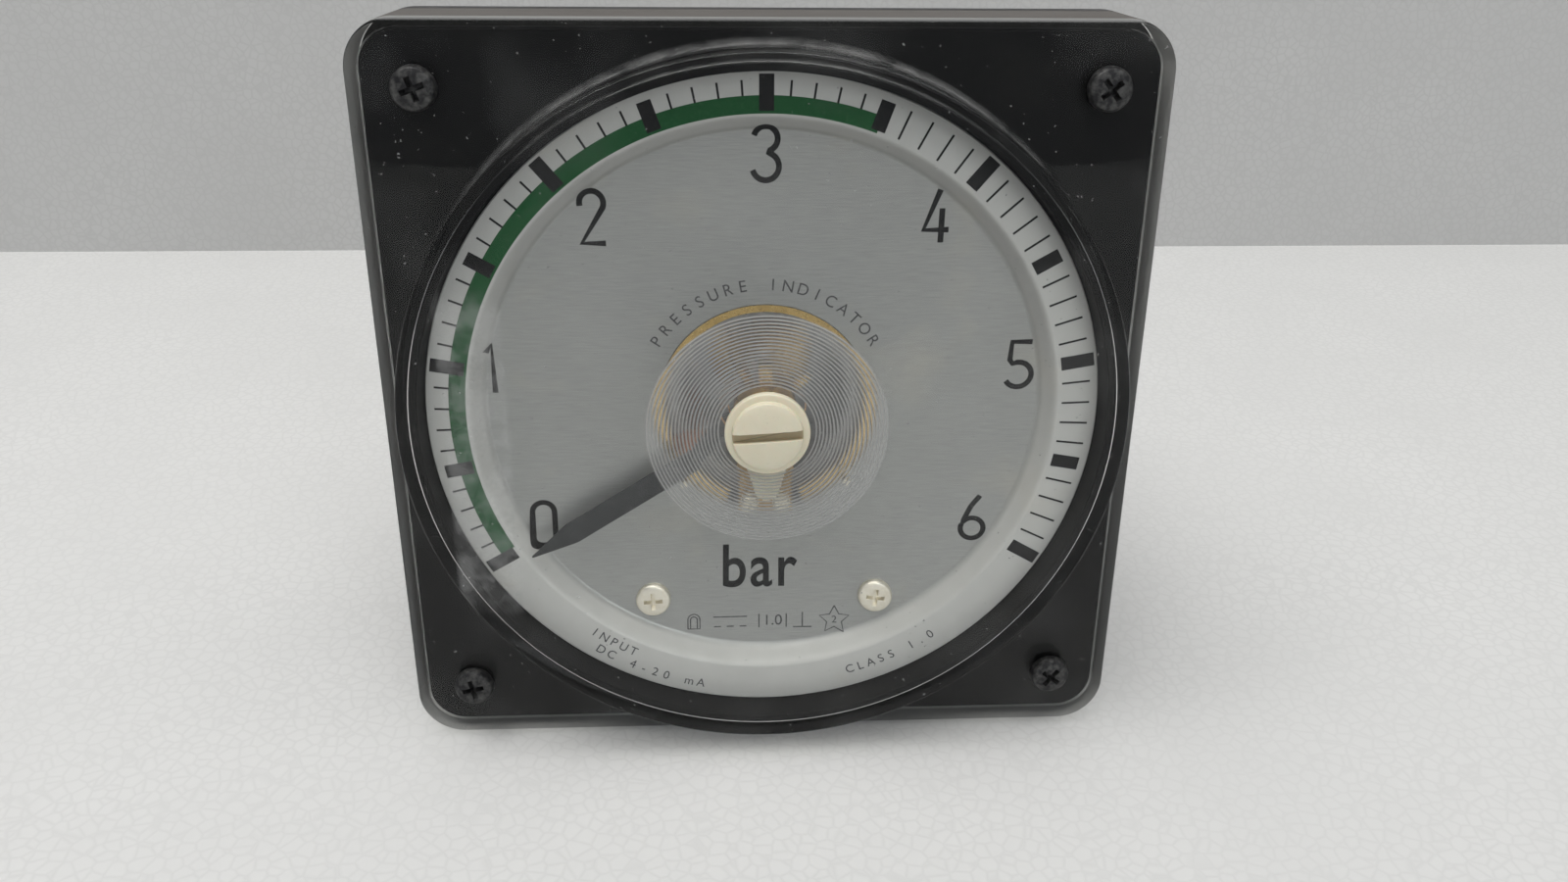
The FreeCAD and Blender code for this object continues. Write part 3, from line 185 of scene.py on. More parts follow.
def lathe(name, outline, material, body, replaces=(), steps=160, x=0.0, z=0.0, sharp=40):
    """Turn an outline of (radius, y) or (radius, y, corner radius) about a line along Y.

    An outline that starts and ends on the line is left open there.
    """
    solid = outline[0][0] == 0 and outline[-1][0] == 0
    points, faces = skin([circle(r, y, steps, x, z) for r, y in rounded(outline)], looped=not solid)
    return piece(name, points, faces, material, body, replaces, sharp)


def square_ring(inset, y):
    """A ring round the square flange, inset from its edge, with the flange's own corner arcs."""
    radius = max(FLANGE_CORNER - inset, 0.4)
    flat = FLANGE_HALF - inset - radius
    ring = []
    for side in range(4):
        turn = Matrix.Rotation(math.pi / 2 * side, 2)
        arc = [math.pi / 2 * i / ARC_STEPS for i in range(ARC_STEPS + 1)]
        ring += [turn @ Vector((flat + radius * math.cos(a), flat + radius * math.sin(a))) for a in arc]
        run = [1 - 2 * i / FLAT_STEPS for i in range(1, FLAT_STEPS)]
        ring += [turn @ Vector((flat * k, flat + radius)) for k in run]
    return [(p.x, y, p.y) for p in ring]


def matched_ring(radius, y):
    """A circle with a point for each point of a square ring, in the same direction from the middle."""
    ring = [Vector((x, z)).normalized() * radius for x, _, z in square_ring(0, 0)]
    return [(p.x, y, p.y) for p in ring]


# ---- materials ----

class Shader:
    """A Principled material and short ways to add nodes to it."""

    def __init__(self, name, colour, roughness=0.5, metallic=0.0, **sockets):
        self.material = bpy.data.materials.new(name)
        self.material.use_nodes = True
        self.nodes = self.material.node_tree.nodes
        self.links = self.material.node_tree.links
        self.main = self.nodes["Principled BSDF"]
        self.main.inputs["Base Color"].default_value = (*colour, 1)
        self.main.inputs["Roughness"].default_value = roughness
        self.main.inputs["Metallic"].default_value = metallic
        for socket, value in sockets.items():
            self.main.inputs[socket.replace("_", " ")].default_value = value
        self.place = self.nodes.new("ShaderNodeTexCoord").outputs["Object"]

    def node(self, kind, inputs=None, **settings):
        made = self.nodes.new(f"ShaderNode{kind}")
        for name, value in settings.items():
            setattr(made, name, value)
        for key, value in (inputs or {}).items():
            self.feed(made.inputs[key], value)
        return made

    def feed(self, socket, value):
        if isinstance(value, bpy.types.NodeSocket):
            self.links.new(value, socket)
        elif isinstance(value, tuple) and len(value) == 3 and socket.type == "RGBA":
            socket.default_value = (*value, 1)
        else:
            socket.default_value = value

    def stretched(self, x=1.0, y=1.0, z=1.0):
        return self.node("Mapping", {"Vector": self.place, "Scale": (x, y, z)}).outputs["Vector"]

    def noise(self, millimetres, detail=3.0, rough=0.55, place=None):
        """Noise whose features are about this many millimetres across."""
        scale = 1 / (millimetres * MM)
        inputs = {"Vector": place or self.place, "Scale": scale, "Detail": detail, "Roughness": rough}
        return self.node("TexNoise", inputs).outputs["Fac"]

    def ramp(self, value, low, high, start=0.0, end=1.0):
        """Start below low, end above high, and even between them. High may be the smaller number."""
        inputs = {"Value": value, "From Min": low, "From Max": high, "To Min": start, "To Max": end}
        return self.node("MapRange", inputs).outputs["Result"]

    def maths(self, operation, a, b=0.0):
        made = self.node("Math", operation=operation)
        self.feed(made.inputs[0], a)
        self.feed(made.inputs[1], b)
        return made.outputs["Value"]

    def product(self, first, *others):
        for other in others:
            first = self.maths("MULTIPLY", first, other)
        return first

    def total(self, first, *others):
        for other in others:
            first = self.maths("ADD", first, other)
        return first

    def mix(self, share, a, b):
        made = self.node("Mix", data_type="RGBA")
        self.feed(made.inputs["Factor"], share)
        self.feed(made.inputs[6], a)
        self.feed(made.inputs[7], b)
        return made.outputs[2]

    def colour(self, socket):
        self.feed(self.main.inputs["Base Color"], socket)
        return self

    def roughness(self, socket):
        self.feed(self.main.inputs["Roughness"], socket)
        return self

    def bump(self, height, millimetres, strength=1.0):
        made = self.node("Bump", {"Height": height, "Distance": millimetres * MM, "Strength": strength})
        self.feed(self.main.inputs["Normal"], made.outputs["Normal"])
        return self

    def surface(self, choice, plain, chosen):
        """Put one of two shaders on the surface."""
        choose = self.node("MixShader", {0: choice, 1: plain, 2: chosen})
        self.links.new(choose.outputs["Shader"], self.nodes["Material Output"].inputs["Surface"])

    def radius(self):
        """Distance from the meter's axis, in millimetres."""
        parts = self.node("SeparateXYZ", {"Vector": self.place}).outputs
        squares = [self.maths("POWER", parts[axis], 2.0) for axis in "XZ"]
        length = self.maths("SQRT", self.total(*squares))
        return self.maths("DIVIDE", length, MM)


def moulded_black(name, dark, pale, gloss=0.5):
    """Black moulded plastic: fine satin grain, with a little grey dust in patches."""
    s = Shader(name, (dark, dark, dark), 0.5, Specular_IOR_Level=gloss)
    dust = s.ramp(s.noise(9, 5), 0.5, 0.78)
    specks = s.ramp(s.noise(0.9, 2), 0.72, 0.78, 0, 0.4)
    share = s.product(s.total(dust, specks), 0.55)
    s.colour(s.mix(share, (dark, dark, dark * 1.05), (pale, pale * 0.97, pale * 0.9)))
    s.roughness(s.ramp(s.noise(3, 4), 0.3, 0.7, 0.46, 0.6))
    s.bump(s.noise(2.5, 0), 0.002, 0.2)
    return s.material


def frosted_side(s, place):
    """Cloudiness of the skirt's outer wall, found by its distance out from the flange's straight part."""
    flat = (FLANGE_HALF - FLANGE_CORNER) * MM
    reach = [s.maths("MAXIMUM", s.maths("SUBTRACT", s.maths("ABSOLUTE", place[axis]), flat)) for axis in "XZ"]
    corner = s.maths("SQRT", s.total(*[s.maths("POWER", r, 2.0) for r in reach]))
    return s.ramp(corner, (FLANGE_CORNER - 0.12) * MM, (FLANGE_CORNER - 0.02) * MM, 0, 0.55)


def caught_dust(s, place):
    """Patchy brown dust at the foot of the drum, towards the top."""
    settled = s.ramp(place["Z"], 22 * MM, 50 * MM, 0, 0.18)
    ring = s.product(s.ramp(s.radius(), DRUM_R + 1.0, DRUM_R + 0.1), s.ramp(s.radius(), DRUM_R - 0.3, DRUM_R))
    low = s.ramp(place["Y"], (FACE_Y - 1.2) * MM, (FACE_Y - 0.2) * MM)
    patches = s.ramp(s.noise(3.5, 5, 0.7), 0.38, 0.62)
    return s.product(s.product(ring, low), s.product(settled, patches))


def milky_rings(s, place):
    """Cloudiness of the sight rings, most in the bottoms of their grooves."""
    depth = s.ramp(place["Y"], (WINDOW_Y + 0.002) * MM, (WINDOW_Y + 0.02) * MM, 0.13, 0.66)
    middle = s.ramp(s.radius(), RINGS_END + 0.05, RINGS_END - 0.05)
    face = s.ramp(place["Y"], (WINDOW_Y + 0.3) * MM, (WINDOW_Y + 0.2) * MM)
    return s.product(depth, middle, face)


def tape_residue(s, place):
    """Cloudiness of a faint upright strip at the left of the window, where tape has been."""
    strip_x, strip_z = -40.5, -4.0
    beside = s.ramp(s.maths("ABSOLUTE", s.maths("SUBTRACT", place["X"], strip_x * MM)), 4.8 * MM, 4.0 * MM)
    tall = s.ramp(s.maths("ABSOLUTE", s.maths("SUBTRACT", place["Z"], strip_z * MM)), 25 * MM, 22 * MM)
    patches = s.ramp(s.noise(4, 4, 0.7), 0.4, 0.6, 0.03, 0.16)
    face = s.ramp(place["Y"], (WINDOW_Y + 0.6) * MM, (WINDOW_Y + 0.5) * MM)
    return s.product(beside, tall, patches, face)


def clear_acrylic():
    """Clear acrylic that lets lamps through: frosted round its sides, dusty at the foot of the drum. Its
    cloudy parts are darker low and paler high, painted shade and light.
    """
    tint, lamp_tint = (0.97, 0.975, 0.965), (0.94, 0.945, 0.935)
    dust_shaded_low, dust_lit_high, dust_edge = (0.12, 0.12, 0.115), (0.40, 0.395, 0.38), (0.10, 0.091, 0.083)
    dust_brown, edge_share, smooth = (0.16, 0.09, 0.06), 0.4, 0.015
    s = Shader("clear_acrylic", tint, 0.02, IOR=1.24, Specular_IOR_Level=0.4)
    place = s.node("SeparateXYZ", {"Vector": s.place}).outputs
    above = s.ramp(place["Z"], (FLANGE_HALF - 0.6) * MM, (FLANGE_HALF - 0.3) * MM)
    sides = s.total(frosted_side(s, place), s.product(above, edge_share))
    caught = caught_dust(s, place)
    film = s.ramp(s.noise(16, 2), 0.5, 0.8, 0.0, 0.02)
    specks = s.ramp(s.noise(0.7, 2), 0.74, 0.77, 0, 0.3)
    worn = s.total(s.total(film, specks), s.total(milky_rings(s, place), tape_residue(s, place)))
    dust = s.node("Clamp", {0: s.total(sides, caught, worn)}).outputs[0]
    s.feed(s.main.inputs["Transmission Weight"], s.maths("SUBTRACT", 1.0, dust))
    # The cloudy colour goes from dark at the bottom to pale at the top: painted shade and light over the
    # frost and dust.
    lit = s.mix(s.ramp(place["Z"], -20 * MM, 25 * MM), dust_shaded_low, dust_lit_high)
    soil = s.mix(s.ramp(caught, 0, 0.05), s.mix(above, lit, dust_edge), dust_brown)
    s.colour(s.mix(dust, tint, soil))
    streaks = s.ramp(s.noise(0.6, 3, place=s.stretched(1.0, 1.0, 0.07)), 0.62, 0.8, 0.0, 0.05)
    s.roughness(s.total(s.product(dust, 0.7), streaks, smooth))
    s.bump(s.noise(6, 2), 0.012, 0.25)
    through = s.node("BsdfTransparent", {"Color": lamp_tint})
    lamp_ray = s.node("LightPath").outputs["Is Shadow Ray"]
    s.surface(lamp_ray, s.main.outputs["BSDF"], through.outputs["BSDF"])
    return s.material


def dial_paint():
    """Silver lacquer in the middle and white on the scale band, faintly brushed and flecked."""
    s = Shader("dial_paint", (0.5, 0.5, 0.5), 0.42, 0.0)
    band = s.ramp(s.radius(), BEVEL_IN + 0.1, BEVEL_IN + 0.9)
    grain = s.ramp(s.noise(0.16, 2, place=s.stretched(0.05, 1.0, 1.0)), 0.3, 0.7)
    silver = s.mix(grain, (0.315, 0.32, 0.315), (0.37, 0.375, 0.37))
    white = s.mix(s.noise(3, 3), (0.44, 0.44, 0.43), (0.50, 0.50, 0.49))
    spots = s.ramp(s.noise(0.55, 3), 0.72, 0.76, 0, 0.45)
    stain = s.ramp(s.noise(16, 4), 0.56, 0.8, 0, 0.35)
    clean = s.mix(band, silver, white)
    stained = s.mix(stain, clean, (0.50, 0.46, 0.38))
    s.colour(s.mix(spots, stained, (0.16, 0.14, 0.12)))
    s.feed(s.main.inputs["Metallic"], s.ramp(band, 0, 1, 0.6, 0.05))
    s.roughness(s.ramp(s.noise(5, 4), 0.3, 0.7, 0.36, 0.48))
    s.bump(grain, 0.004, 0.6)
    return s.material


def printed(name, colour, worn):
    """Screen ink: matt, slightly uneven, thinner in places."""
    s = Shader(name, colour, 0.7, Specular_IOR_Level=0.2)
    thin = s.ramp(s.noise(0.5, 4), 0.5, 0.75, 0, worn)
    s.colour(s.mix(thin, colour, tuple(min(1.0, c * 2.2 + 0.08) for c in colour)))
    s.bump(s.noise(0.12, 2), 0.003, 0.5)
    return s.material


def lacquered_dark():
    """The pointer's dark grey lacquer, lighter where it is rubbed."""
    s = Shader("pointer_lacquer", (0.03, 0.032, 0.034), 0.38)
    rub = s.ramp(s.noise(1.4, 5), 0.5, 0.75, 0, 0.5)
    s.colour(s.mix(rub, (0.026, 0.028, 0.030), (0.075, 0.077, 0.08)))
    s.roughness(s.ramp(s.noise(0.8, 3), 0.3, 0.7, 0.34, 0.5))
    s.bump(s.noise(0.2, 2), 0.004, 0.5)
    return s.material


def ivory():
    """Aged ivory moulding: warm, a little translucent, dirt held in its scratches, and dark brown towards the
    bottom of the knob's slot.
    """
    s = Shader("ivory_moulding", (0.78, 0.73, 0.56), 0.36, Subsurface_Weight=0.2, Subsurface_Scale=0.001)
    place = s.node("SeparateXYZ", {"Vector": s.place}).outputs
    warm = s.mix(s.noise(2.5, 3), (0.73, 0.68, 0.51), (0.82, 0.77, 0.61))
    # Darker brown the deeper it is in the knob's slot.
    sunk = s.ramp(place["Y"], (KNOB_LOW.y + 0.35) * MM, (KNOB_LOW.y + 0.7) * MM)
    near = s.ramp(s.maths("ABSOLUTE", place["Z"]), 1.3 * MM, 1.1 * MM)
    within = s.ramp(s.radius(), KNOB_CAP_R + 0.05, KNOB_CAP_R - 0.05, 0, 0.75)
    dirt = s.ramp(s.noise(0.4, 4), 0.64, 0.78, 0, 0.35)
    scratched = s.mix(dirt, warm, (0.38, 0.30, 0.19))
    s.colour(s.mix(s.product(sunk, near, within), scratched, (0.30, 0.215, 0.10)))
    s.roughness(s.ramp(s.noise(0.7, 3), 0.3, 0.7, 0.28, 0.46))
    s.bump(s.noise(0.5, 3), 0.01, 0.4)
    return s.material


def metal(name, colour, roughness, tarnish, dull=0.35, grain=0.3):
    """Plated or bare metal with fine grain and uneven tarnish."""
    s = Shader(name, colour, roughness, 1.0)
    share = s.ramp(s.noise(2.2, 5), 0.45, 0.8, 0, dull)
    s.colour(s.mix(share, colour, tarnish))
    s.roughness(s.ramp(s.noise(1.1, 4), 0.3, 0.7, roughness * 0.75, roughness * 1.5))
    s.bump(s.noise(grain, 3), 0.008, 0.35)
    return s.material


def blackened_steel():
    """Black-finished steel with grey dust in patches."""
    s = Shader("blackened_steel", (0.02, 0.02, 0.021), 0.42, 0.6)
    dust = s.ramp(s.noise(0.9, 5), 0.4, 0.7, 0.05, 0.75)
    s.colour(s.mix(dust, (0.018, 0.018, 0.02), (0.13, 0.13, 0.125)))
    s.roughness(s.ramp(s.noise(0.5, 3), 0.3, 0.7, 0.38, 0.7))
    s.bump(s.noise(0.25, 3), 0.012, 0.5)
    return s.material


def plain_plastic(name, colour, roughness=0.45, grain=0.3):
    """A moulded plastic with slight colour and gloss variation."""
    s = Shader(name, colour, roughness)
    darker, paler = tuple(c * 0.85 for c in colour), tuple(min(1, c * 1.12) for c in colour)
    s.colour(s.mix(s.noise(1.5, 3), darker, paler))
    s.roughness(s.ramp(s.noise(0.8, 3), 0.3, 0.7, roughness * 0.8, roughness * 1.25))
    s.bump(s.noise(grain, 2), 0.01, 0.4)
    return s.material


def wound_wire():
    """Enamelled copper wound in close turns, painted darker in the grooves between turns and paler on their
    crowns: painted shade and highlight.
    """
    s = Shader("wound_wire", (0.55, 0.2, 0.07), 0.3, 0.85)
    wave = {"Vector": s.place, "Scale": 900.0, "Distortion": 0.6, "Detail": 1.0}
    turns = s.node("TexWave", wave, bands_direction="Y").outputs["Fac"]
    # The turns' colour follows their bump: painted shade in the grooves, painted highlight on the crowns.
    s.colour(s.mix(turns, (0.28, 0.08, 0.03), (0.66, 0.27, 0.10)))
    s.bump(turns, 0.05, 0.6)
    return s.material


def ruby():
    """Red synthetic ruby, partly clear."""
    s = Shader("ruby", (0.6, 0.03, 0.07), 0.05, IOR=1.76, Transmission_Weight=0.6)
    s.colour(s.mix(s.noise(0.5, 2), (0.55, 0.02, 0.06), (0.7, 0.05, 0.1)))
    return s.material


CLEAR = clear_acrylic()
BLACK = moulded_black("mask_black", 0.005, 0.012, 0.06)
CASE_BLACK = moulded_black("case_black", 0.014, 0.035)
RUBBER = plain_plastic("seal_rubber", (0.02, 0.02, 0.02), 0.75)
DIAL = dial_paint()
INK = printed("dial_ink", (0.008, 0.008, 0.009), 0.15)
FINE_INK = printed("fine_ink", (0.06, 0.06, 0.065), 0.5)
GREEN = printed("green_ink", (0.008, 0.075, 0.022), 0.15)
LACQUER = lacquered_dark()
IVORY = ivory()
BRASS = metal("brass", (0.78, 0.56, 0.24), 0.26, (0.30, 0.18, 0.07))
OLD_BRASS = metal("old_brass", (0.42, 0.28, 0.11), 0.36, (0.16, 0.10, 0.05), 0.5)
BRONZE = metal("bronze", (0.70, 0.42, 0.20), 0.25, (0.25, 0.12, 0.05))
NICKEL = metal("nickel", (0.70, 0.66, 0.55), 0.3, (0.42, 0.36, 0.24))
PALE_NICKEL = metal("pale_nickel", (0.90, 0.86, 0.76), 0.46, (0.55, 0.46, 0.33), 0.3)
ZINC = metal("zinc", (0.62, 0.62, 0.60), 0.34, (0.35, 0.35, 0.33))
STEEL = metal("steel", (0.58, 0.58, 0.60), 0.22, (0.35, 0.34, 0.33))
CASTING = metal("die_casting", (0.55, 0.56, 0.57), 0.45, (0.36, 0.36, 0.36), grain=0.5)
IRON = metal("soft_iron", (0.42, 0.42, 0.42), 0.42, (0.22, 0.20, 0.18))
MAGNET = metal("magnet_alloy", (0.24, 0.24, 0.25), 0.5, (0.14, 0.13, 0.13))
ALUMINIUM = metal("aluminium", (0.75, 0.76, 0.77), 0.32, (0.5, 0.5, 0.5))
BLACK_STEEL = blackened_steel()
WIRE = wound_wire()
BOARD = plain_plastic("phenolic_board", (0.28, 0.15, 0.06), 0.5, 0.4)
SPOOL = plain_plastic("spool_plastic", (0.72, 0.70, 0.62))
CAN = plain_plastic("sleeve_blue", (0.04, 0.10, 0.28), 0.3)
RED_WIRE = plain_plastic("red_insulation", (0.50, 0.03, 0.03), 0.4)
BLACK_WIRE = plain_plastic("black_insulation", (0.02, 0.02, 0.02), 0.4)

CAD_FINISHES = {
    "front_seal": RUBBER, "adjuster_seal": RUBBER, "crank_clip": STEEL, "dial_pillars": BRASS,
    "front_plate": BRASS, "stop_pins": NICKEL, "plate_pillars": BRASS, "movement_base": CASTING,
    "pillar_screws": ZINC, "movement_screws": ZINC, "pole_shell": IRON, "shell_screws": ZINC,
    "core_ring": IRON, "core_foot": IRON, "magnet": MAGNET, "front_bridge": OLD_BRASS, "rear_bridge": BRASS,
    "bridge_screws": NICKEL, "front_jewel_screw": BRASS, "rear_jewel_screw": BRASS, "jewels": ruby(),
    "jewel_lock_nuts": BRASS, "zero_lever": BRASS, "front_hairspring": BRONZE, "rear_hairspring": BRONZE,
    "balance_weights": BRASS, "spindle": STEEL, "moving_coil": WIRE, "coil_carrier": ALUMINIUM,
    "spring_collets": BRASS, "circuit_board": BOARD, "board_screws": ZINC, "shunt_spool": SPOOL,
    "shunt_winding": WIRE, "damping_capacitor": CAN, "span_trimmer": CAN, "solder_tags": BRASS,
    "leads_red": RED_WIRE, "leads_black": BLACK_WIRE,
}


def finish_cad_nodes():
    """The CAD nodes that keep their own shape get their finished materials."""
    for node, material in CAD_FINISHES.items():
        data = frame["nodes"][node].data
        for i in range(max(1, len(data.materials))):
            if i < len(data.materials):
                data.materials[i] = material
            else:
                data.materials.append(material)


def softened(node, material, width, name):
    """A copy of a CAD node with its sharp edges broken, which replaces it."""
    sharp, segments = 30, 3
    mesh = frame["nodes"][node].data.copy()
    work = bmesh.new()
    work.from_mesh(mesh)
    bmesh.ops.remove_doubles(work, verts=work.verts, dist=1e-6)
    bmesh.ops.dissolve_limit(work, angle_limit=math.radians(0.4), verts=work.verts, edges=work.edges)
    work.to_mesh(mesh)
    work.free()
    obj = shown(bpy.data.objects.new(name, mesh), material, body_of(node), (node,), sharp)
    bevelled(obj, width, segments, sharp).harden_normals = True


def bevelled(obj, width, segments, limit):
    """Break the object's edges that are sharper than the limit, in degrees."""
    edge = obj.modifiers.new("bevel", "BEVEL")
    edge.width = width * MM
    edge.segments = segments
    edge.limit_method = "ANGLE"
    edge.angle_limit = math.radians(limit)
    return edge


def body_of(node):
    """The body that a CAD node belongs to."""
    return next(b for b, nodes in frame["record"]["behaviour"]["bodies"].items() if node in nodes)


# ---- cover, mask and case ----

def cover():
    """The clear cover, as one closed skin: tray, drum, window with its sight rings, and knob hole."""
    gap, lip, steps = 0.04, 0.45, 6
    rings = [square_ring(0, SKIRT_END)]
    for i in range(steps + 1):
        turn = math.pi / 2 * i / steps
        rings.append(square_ring(lip * (1 - math.cos(turn)), FACE_Y + lip * (1 - math.sin(turn))))
    grooves = []
    for i in reversed(range(RING_COUNT)):
        middle = RING_FIRST + RING_PITCH * (i + 0.5)
        grooves += [(middle + RING_WIDE / 2, WINDOW_Y), (middle, WINDOW_Y + RING_DEEP),
                    (middle - RING_WIDE / 2, WINDOW_Y)]
    inner_y, bore, back = WINDOW_Y + WINDOW_T, DRUM_R - DRUM_WALL, FACE_Y + FACE_WALL - gap
    section = rounded([
        (DRUM_R + 1.2, FACE_Y), (DRUM_R, FACE_Y, 0.35), (DRUM_R, WINDOW_Y, 0.5), *grooves,
        (KNOB_HOLE_R, WINDOW_Y, 0.15), (KNOB_HOLE_R, inner_y, 0.15), (bore, inner_y, 0.4), (bore, back),
        (bore + 1.2, back)])
    rings += [matched_ring(r, y) for r, y in section]
    rings += [square_ring(SKIRT_WALL, back), square_ring(SKIRT_WALL, SKIRT_END)]
    points, faces = skin(rings, looped=True)
    piece("clear_cover", points, faces, CLEAR, "case", ("front_cover",), sharp=28)


def mask():
    """The black mask: a plate behind the square face and a collar up to the window."""
    inset, edge, lip = SKIRT_WALL + 0.2, 0.3, 0.15
    front, rear, top = FACE_Y + FACE_WALL, MASK_HIGH.y, MASK_LOW.y
    rings = [square_ring(inset, rear), square_ring(inset, front + edge), square_ring(inset + edge, front),
             matched_ring(COLLAR_OUT, front)]
    collar = rounded([(COLLAR_OUT, front), (COLLAR_OUT, top, lip), (COLLAR_IN, top, lip), (COLLAR_IN, rear)])
    rings += [matched_ring(r, y) for r, y in collar[1:]]
    points, faces = skin(rings, looped=True)
    piece("mask", points, faces, BLACK, "case", ("bezel_mask",), sharp=30)


# ---- screws ----

def cross_cutter(reach, width, depth, x, z, y, turn):
    """A tapering cross that cuts a driver recess from y inwards."""
    mouth, floor, above = 1.12, 0.72, 0.5
    spin = Matrix.Rotation(math.radians(turn), 2)
    rings = []
    for along, scale in ((y - above, mouth), (y + depth, floor)):
        a, w = reach * scale, width * scale
        plus = [(w, a), (w, w), (a, w), (a, -w), (w, -w), (w, -a),
                (-w, -a), (-w, -w), (-a, -w), (-a, w), (-w, w), (-w, a)]
        rings.append([(x + q.x, along, z + q.y) for q in (spin @ Vector(p) for p in plus)])
    work = bmesh.new()
    loops = [[work.verts.new(Vector(p) * MM) for p in ring] for ring in rings]
    count = len(loops[0])
    for i in range(count):
        j = (i + 1) % count
        work.faces.new((loops[0][i], loops[0][j], loops[1][j], loops[1][i]))
    for loop in loops:
        work.faces.new(loop)
    bmesh.ops.recalc_face_normals(work, faces=work.faces)
    mesh = bpy.data.meshes.new("cutter")
    work.to_mesh(mesh)
    work.free()
    return linked("cutter", mesh)


def cut_away(obj, cutter):
    """Take the cutter out of the object for good."""
    cut = obj.modifiers.new("recess", "BOOLEAN")
    cut.object = cutter
    cut.solver = "EXACT"
    settle(obj)
    bpy.data.objects.remove(cutter, do_unlink=True)


def settle(obj):
    """Apply the object's modifiers to its mesh."""
    graph = bpy.context.evaluated_depsgraph_get()
    mesh = bpy.data.meshes.new_from_object(obj.evaluated_get(graph))
    obj.modifiers.clear()
    obj.data = mesh


def pan_screw(name, x, z, seat, radius, tall, shank, length, material, turn):
    """A cross-recessed pan-head screw whose head seats on y = seat."""
    crown = seat - tall
    outline = [(0, crown), (radius * 0.6, crown + 0.04), (radius * 0.92, crown + tall * 0.2, radius * 0.16),
               (radius, crown + tall * 0.5, radius * 0.1), (radius, seat), (shank, seat),
               (shank, seat + length, 0.2), (0, seat + length)]
    screw = lathe(name, outline, material, "case", steps=72, x=x, z=z)
    cut_away(screw, cross_cutter(radius * 0.56, radius * 0.13, tall * 0.75, x, z, crown, turn))
    bevelled(screw, 0.05, 2, 40)
    screw.data.shade_smooth()
    screw.data.set_sharp_from_angle(angle=math.radians(35))
    return screw


def cover_screws():
    """The four corner screws, each stopped at its own turn of the driver."""
    head_r, shank_r = 3.0, 1.45
    tall, length = FACE_Y - SCREW_LOW.y, SCREW_HIGH.y - FACE_Y
    turns = {(-1, 1): 20, (1, 1): 38, (-1, -1): 12, (1, -1): 52}
    for i, ((side, end), turn) in enumerate(turns.items()):
        x, z = side * SCREW_SPREAD, end * SCREW_SPREAD
        screw = pan_screw(f"cover_screw_{i + 1}", x, z, FACE_Y, head_r, tall, shank_r, length,
                          BLACK_STEEL, turn)
        if i == 0:
            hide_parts("cover_screws")


def dial_screws():
    """The two screws low on the dial."""
    head_r, tall, shank_r, length = 2.7, 1.1, 1.2, 7
    for i, (side, turn) in enumerate(((-1, 3), (1, -6))):
        x = side * DIAL_SCREW_X
        screw = pan_screw(f"dial_screw_{i + 1}", x, DIAL_SCREW_Z, CENTRE_Y, head_r, tall, shank_r, length,
                          PALE_NICKEL, turn)
        if i == 0:
            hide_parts("dial_screws")


def threaded(name, start, end, material, x, z, plain):
    """An M5 threaded rod along Y with a tapered tip. plain is the smooth length at its start."""
    around, along, deep = 48, 8, 0.6 * M5_PITCH
    flank, root, tip_flat, tip_run = 2.6, 0.15, 0.15, 0.8
    first, core = start + plain, M5_RADIUS - deep
    count = int((end - first) / M5_PITCH * along) + 1
    rings = [circle(0, start, around, x, z), circle(core, start, around, x, z),
             circle(core, first, around, x, z)]
    for y in [first + M5_PITCH * i / along for i in range(count)]:
        taper = max(0.0, min(1.0, (end - y + tip_flat) / tip_run, (y - first) / M5_PITCH))
        ring = []
        for i in range(around):
            turn = 2 * math.pi * i / around
            phase = ((y - first) / M5_PITCH - i / around) % 1
            height = min(1.0, max(0.0, (0.5 - abs(phase - 0.5)) * flank - root))
            r = core + deep * height * taper
            ring.append((x + r * math.sin(turn), y, z + r * math.cos(turn)))
        rings.append(ring)
    rings += [circle(core - 0.1, end, around, x, z), circle(0, end, around, x, z)]
    return piece(name, *skin(rings), material, "case", sharp=50)


def hex_nut(name, bore, front, rear, x):
    """A hexagonal brass nut whose corners are chamfered at both ends."""
    flat, steps = NUT_ACROSS / 2, 96
    shoulder, chamfer = flat * 0.97, math.tan(math.radians(30))
    rings = [[] for _ in range(6)]
    for i in range(steps):
        turn = 2 * math.pi * i / steps
        reach = flat / math.cos((turn + math.pi / 6) % (math.pi / 3) - math.pi / 6)
        drop = (reach - shoulder) * chamfer
        levels = ((bore, front), (shoulder, front), (reach, front + drop),
                  (reach, rear - drop), (shoulder, rear), (bore, rear))
        for ring, (r, y) in zip(rings, levels):
            ring.append((x + r * math.sin(turn), y, r * math.cos(turn)))
    return piece(name, *skin(rings, looped=True), BRASS, "case", sharp=25)


def panel_studs():
    """The four mounting studs. They are smooth as far as the panel seat, which is y = 0."""
    low, high = box_mm("mounting_studs")
    for i, (side, end) in enumerate(((-1, 1), (1, 1), (-1, -1), (1, -1))):
        x, z = side * SCREW_SPREAD, end * SCREW_SPREAD
        stud = threaded(f"panel_stud_{i + 1}", low.y, high.y, ZINC, x, z, plain=-low.y)
        if i == 0:
            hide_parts("mounting_studs")


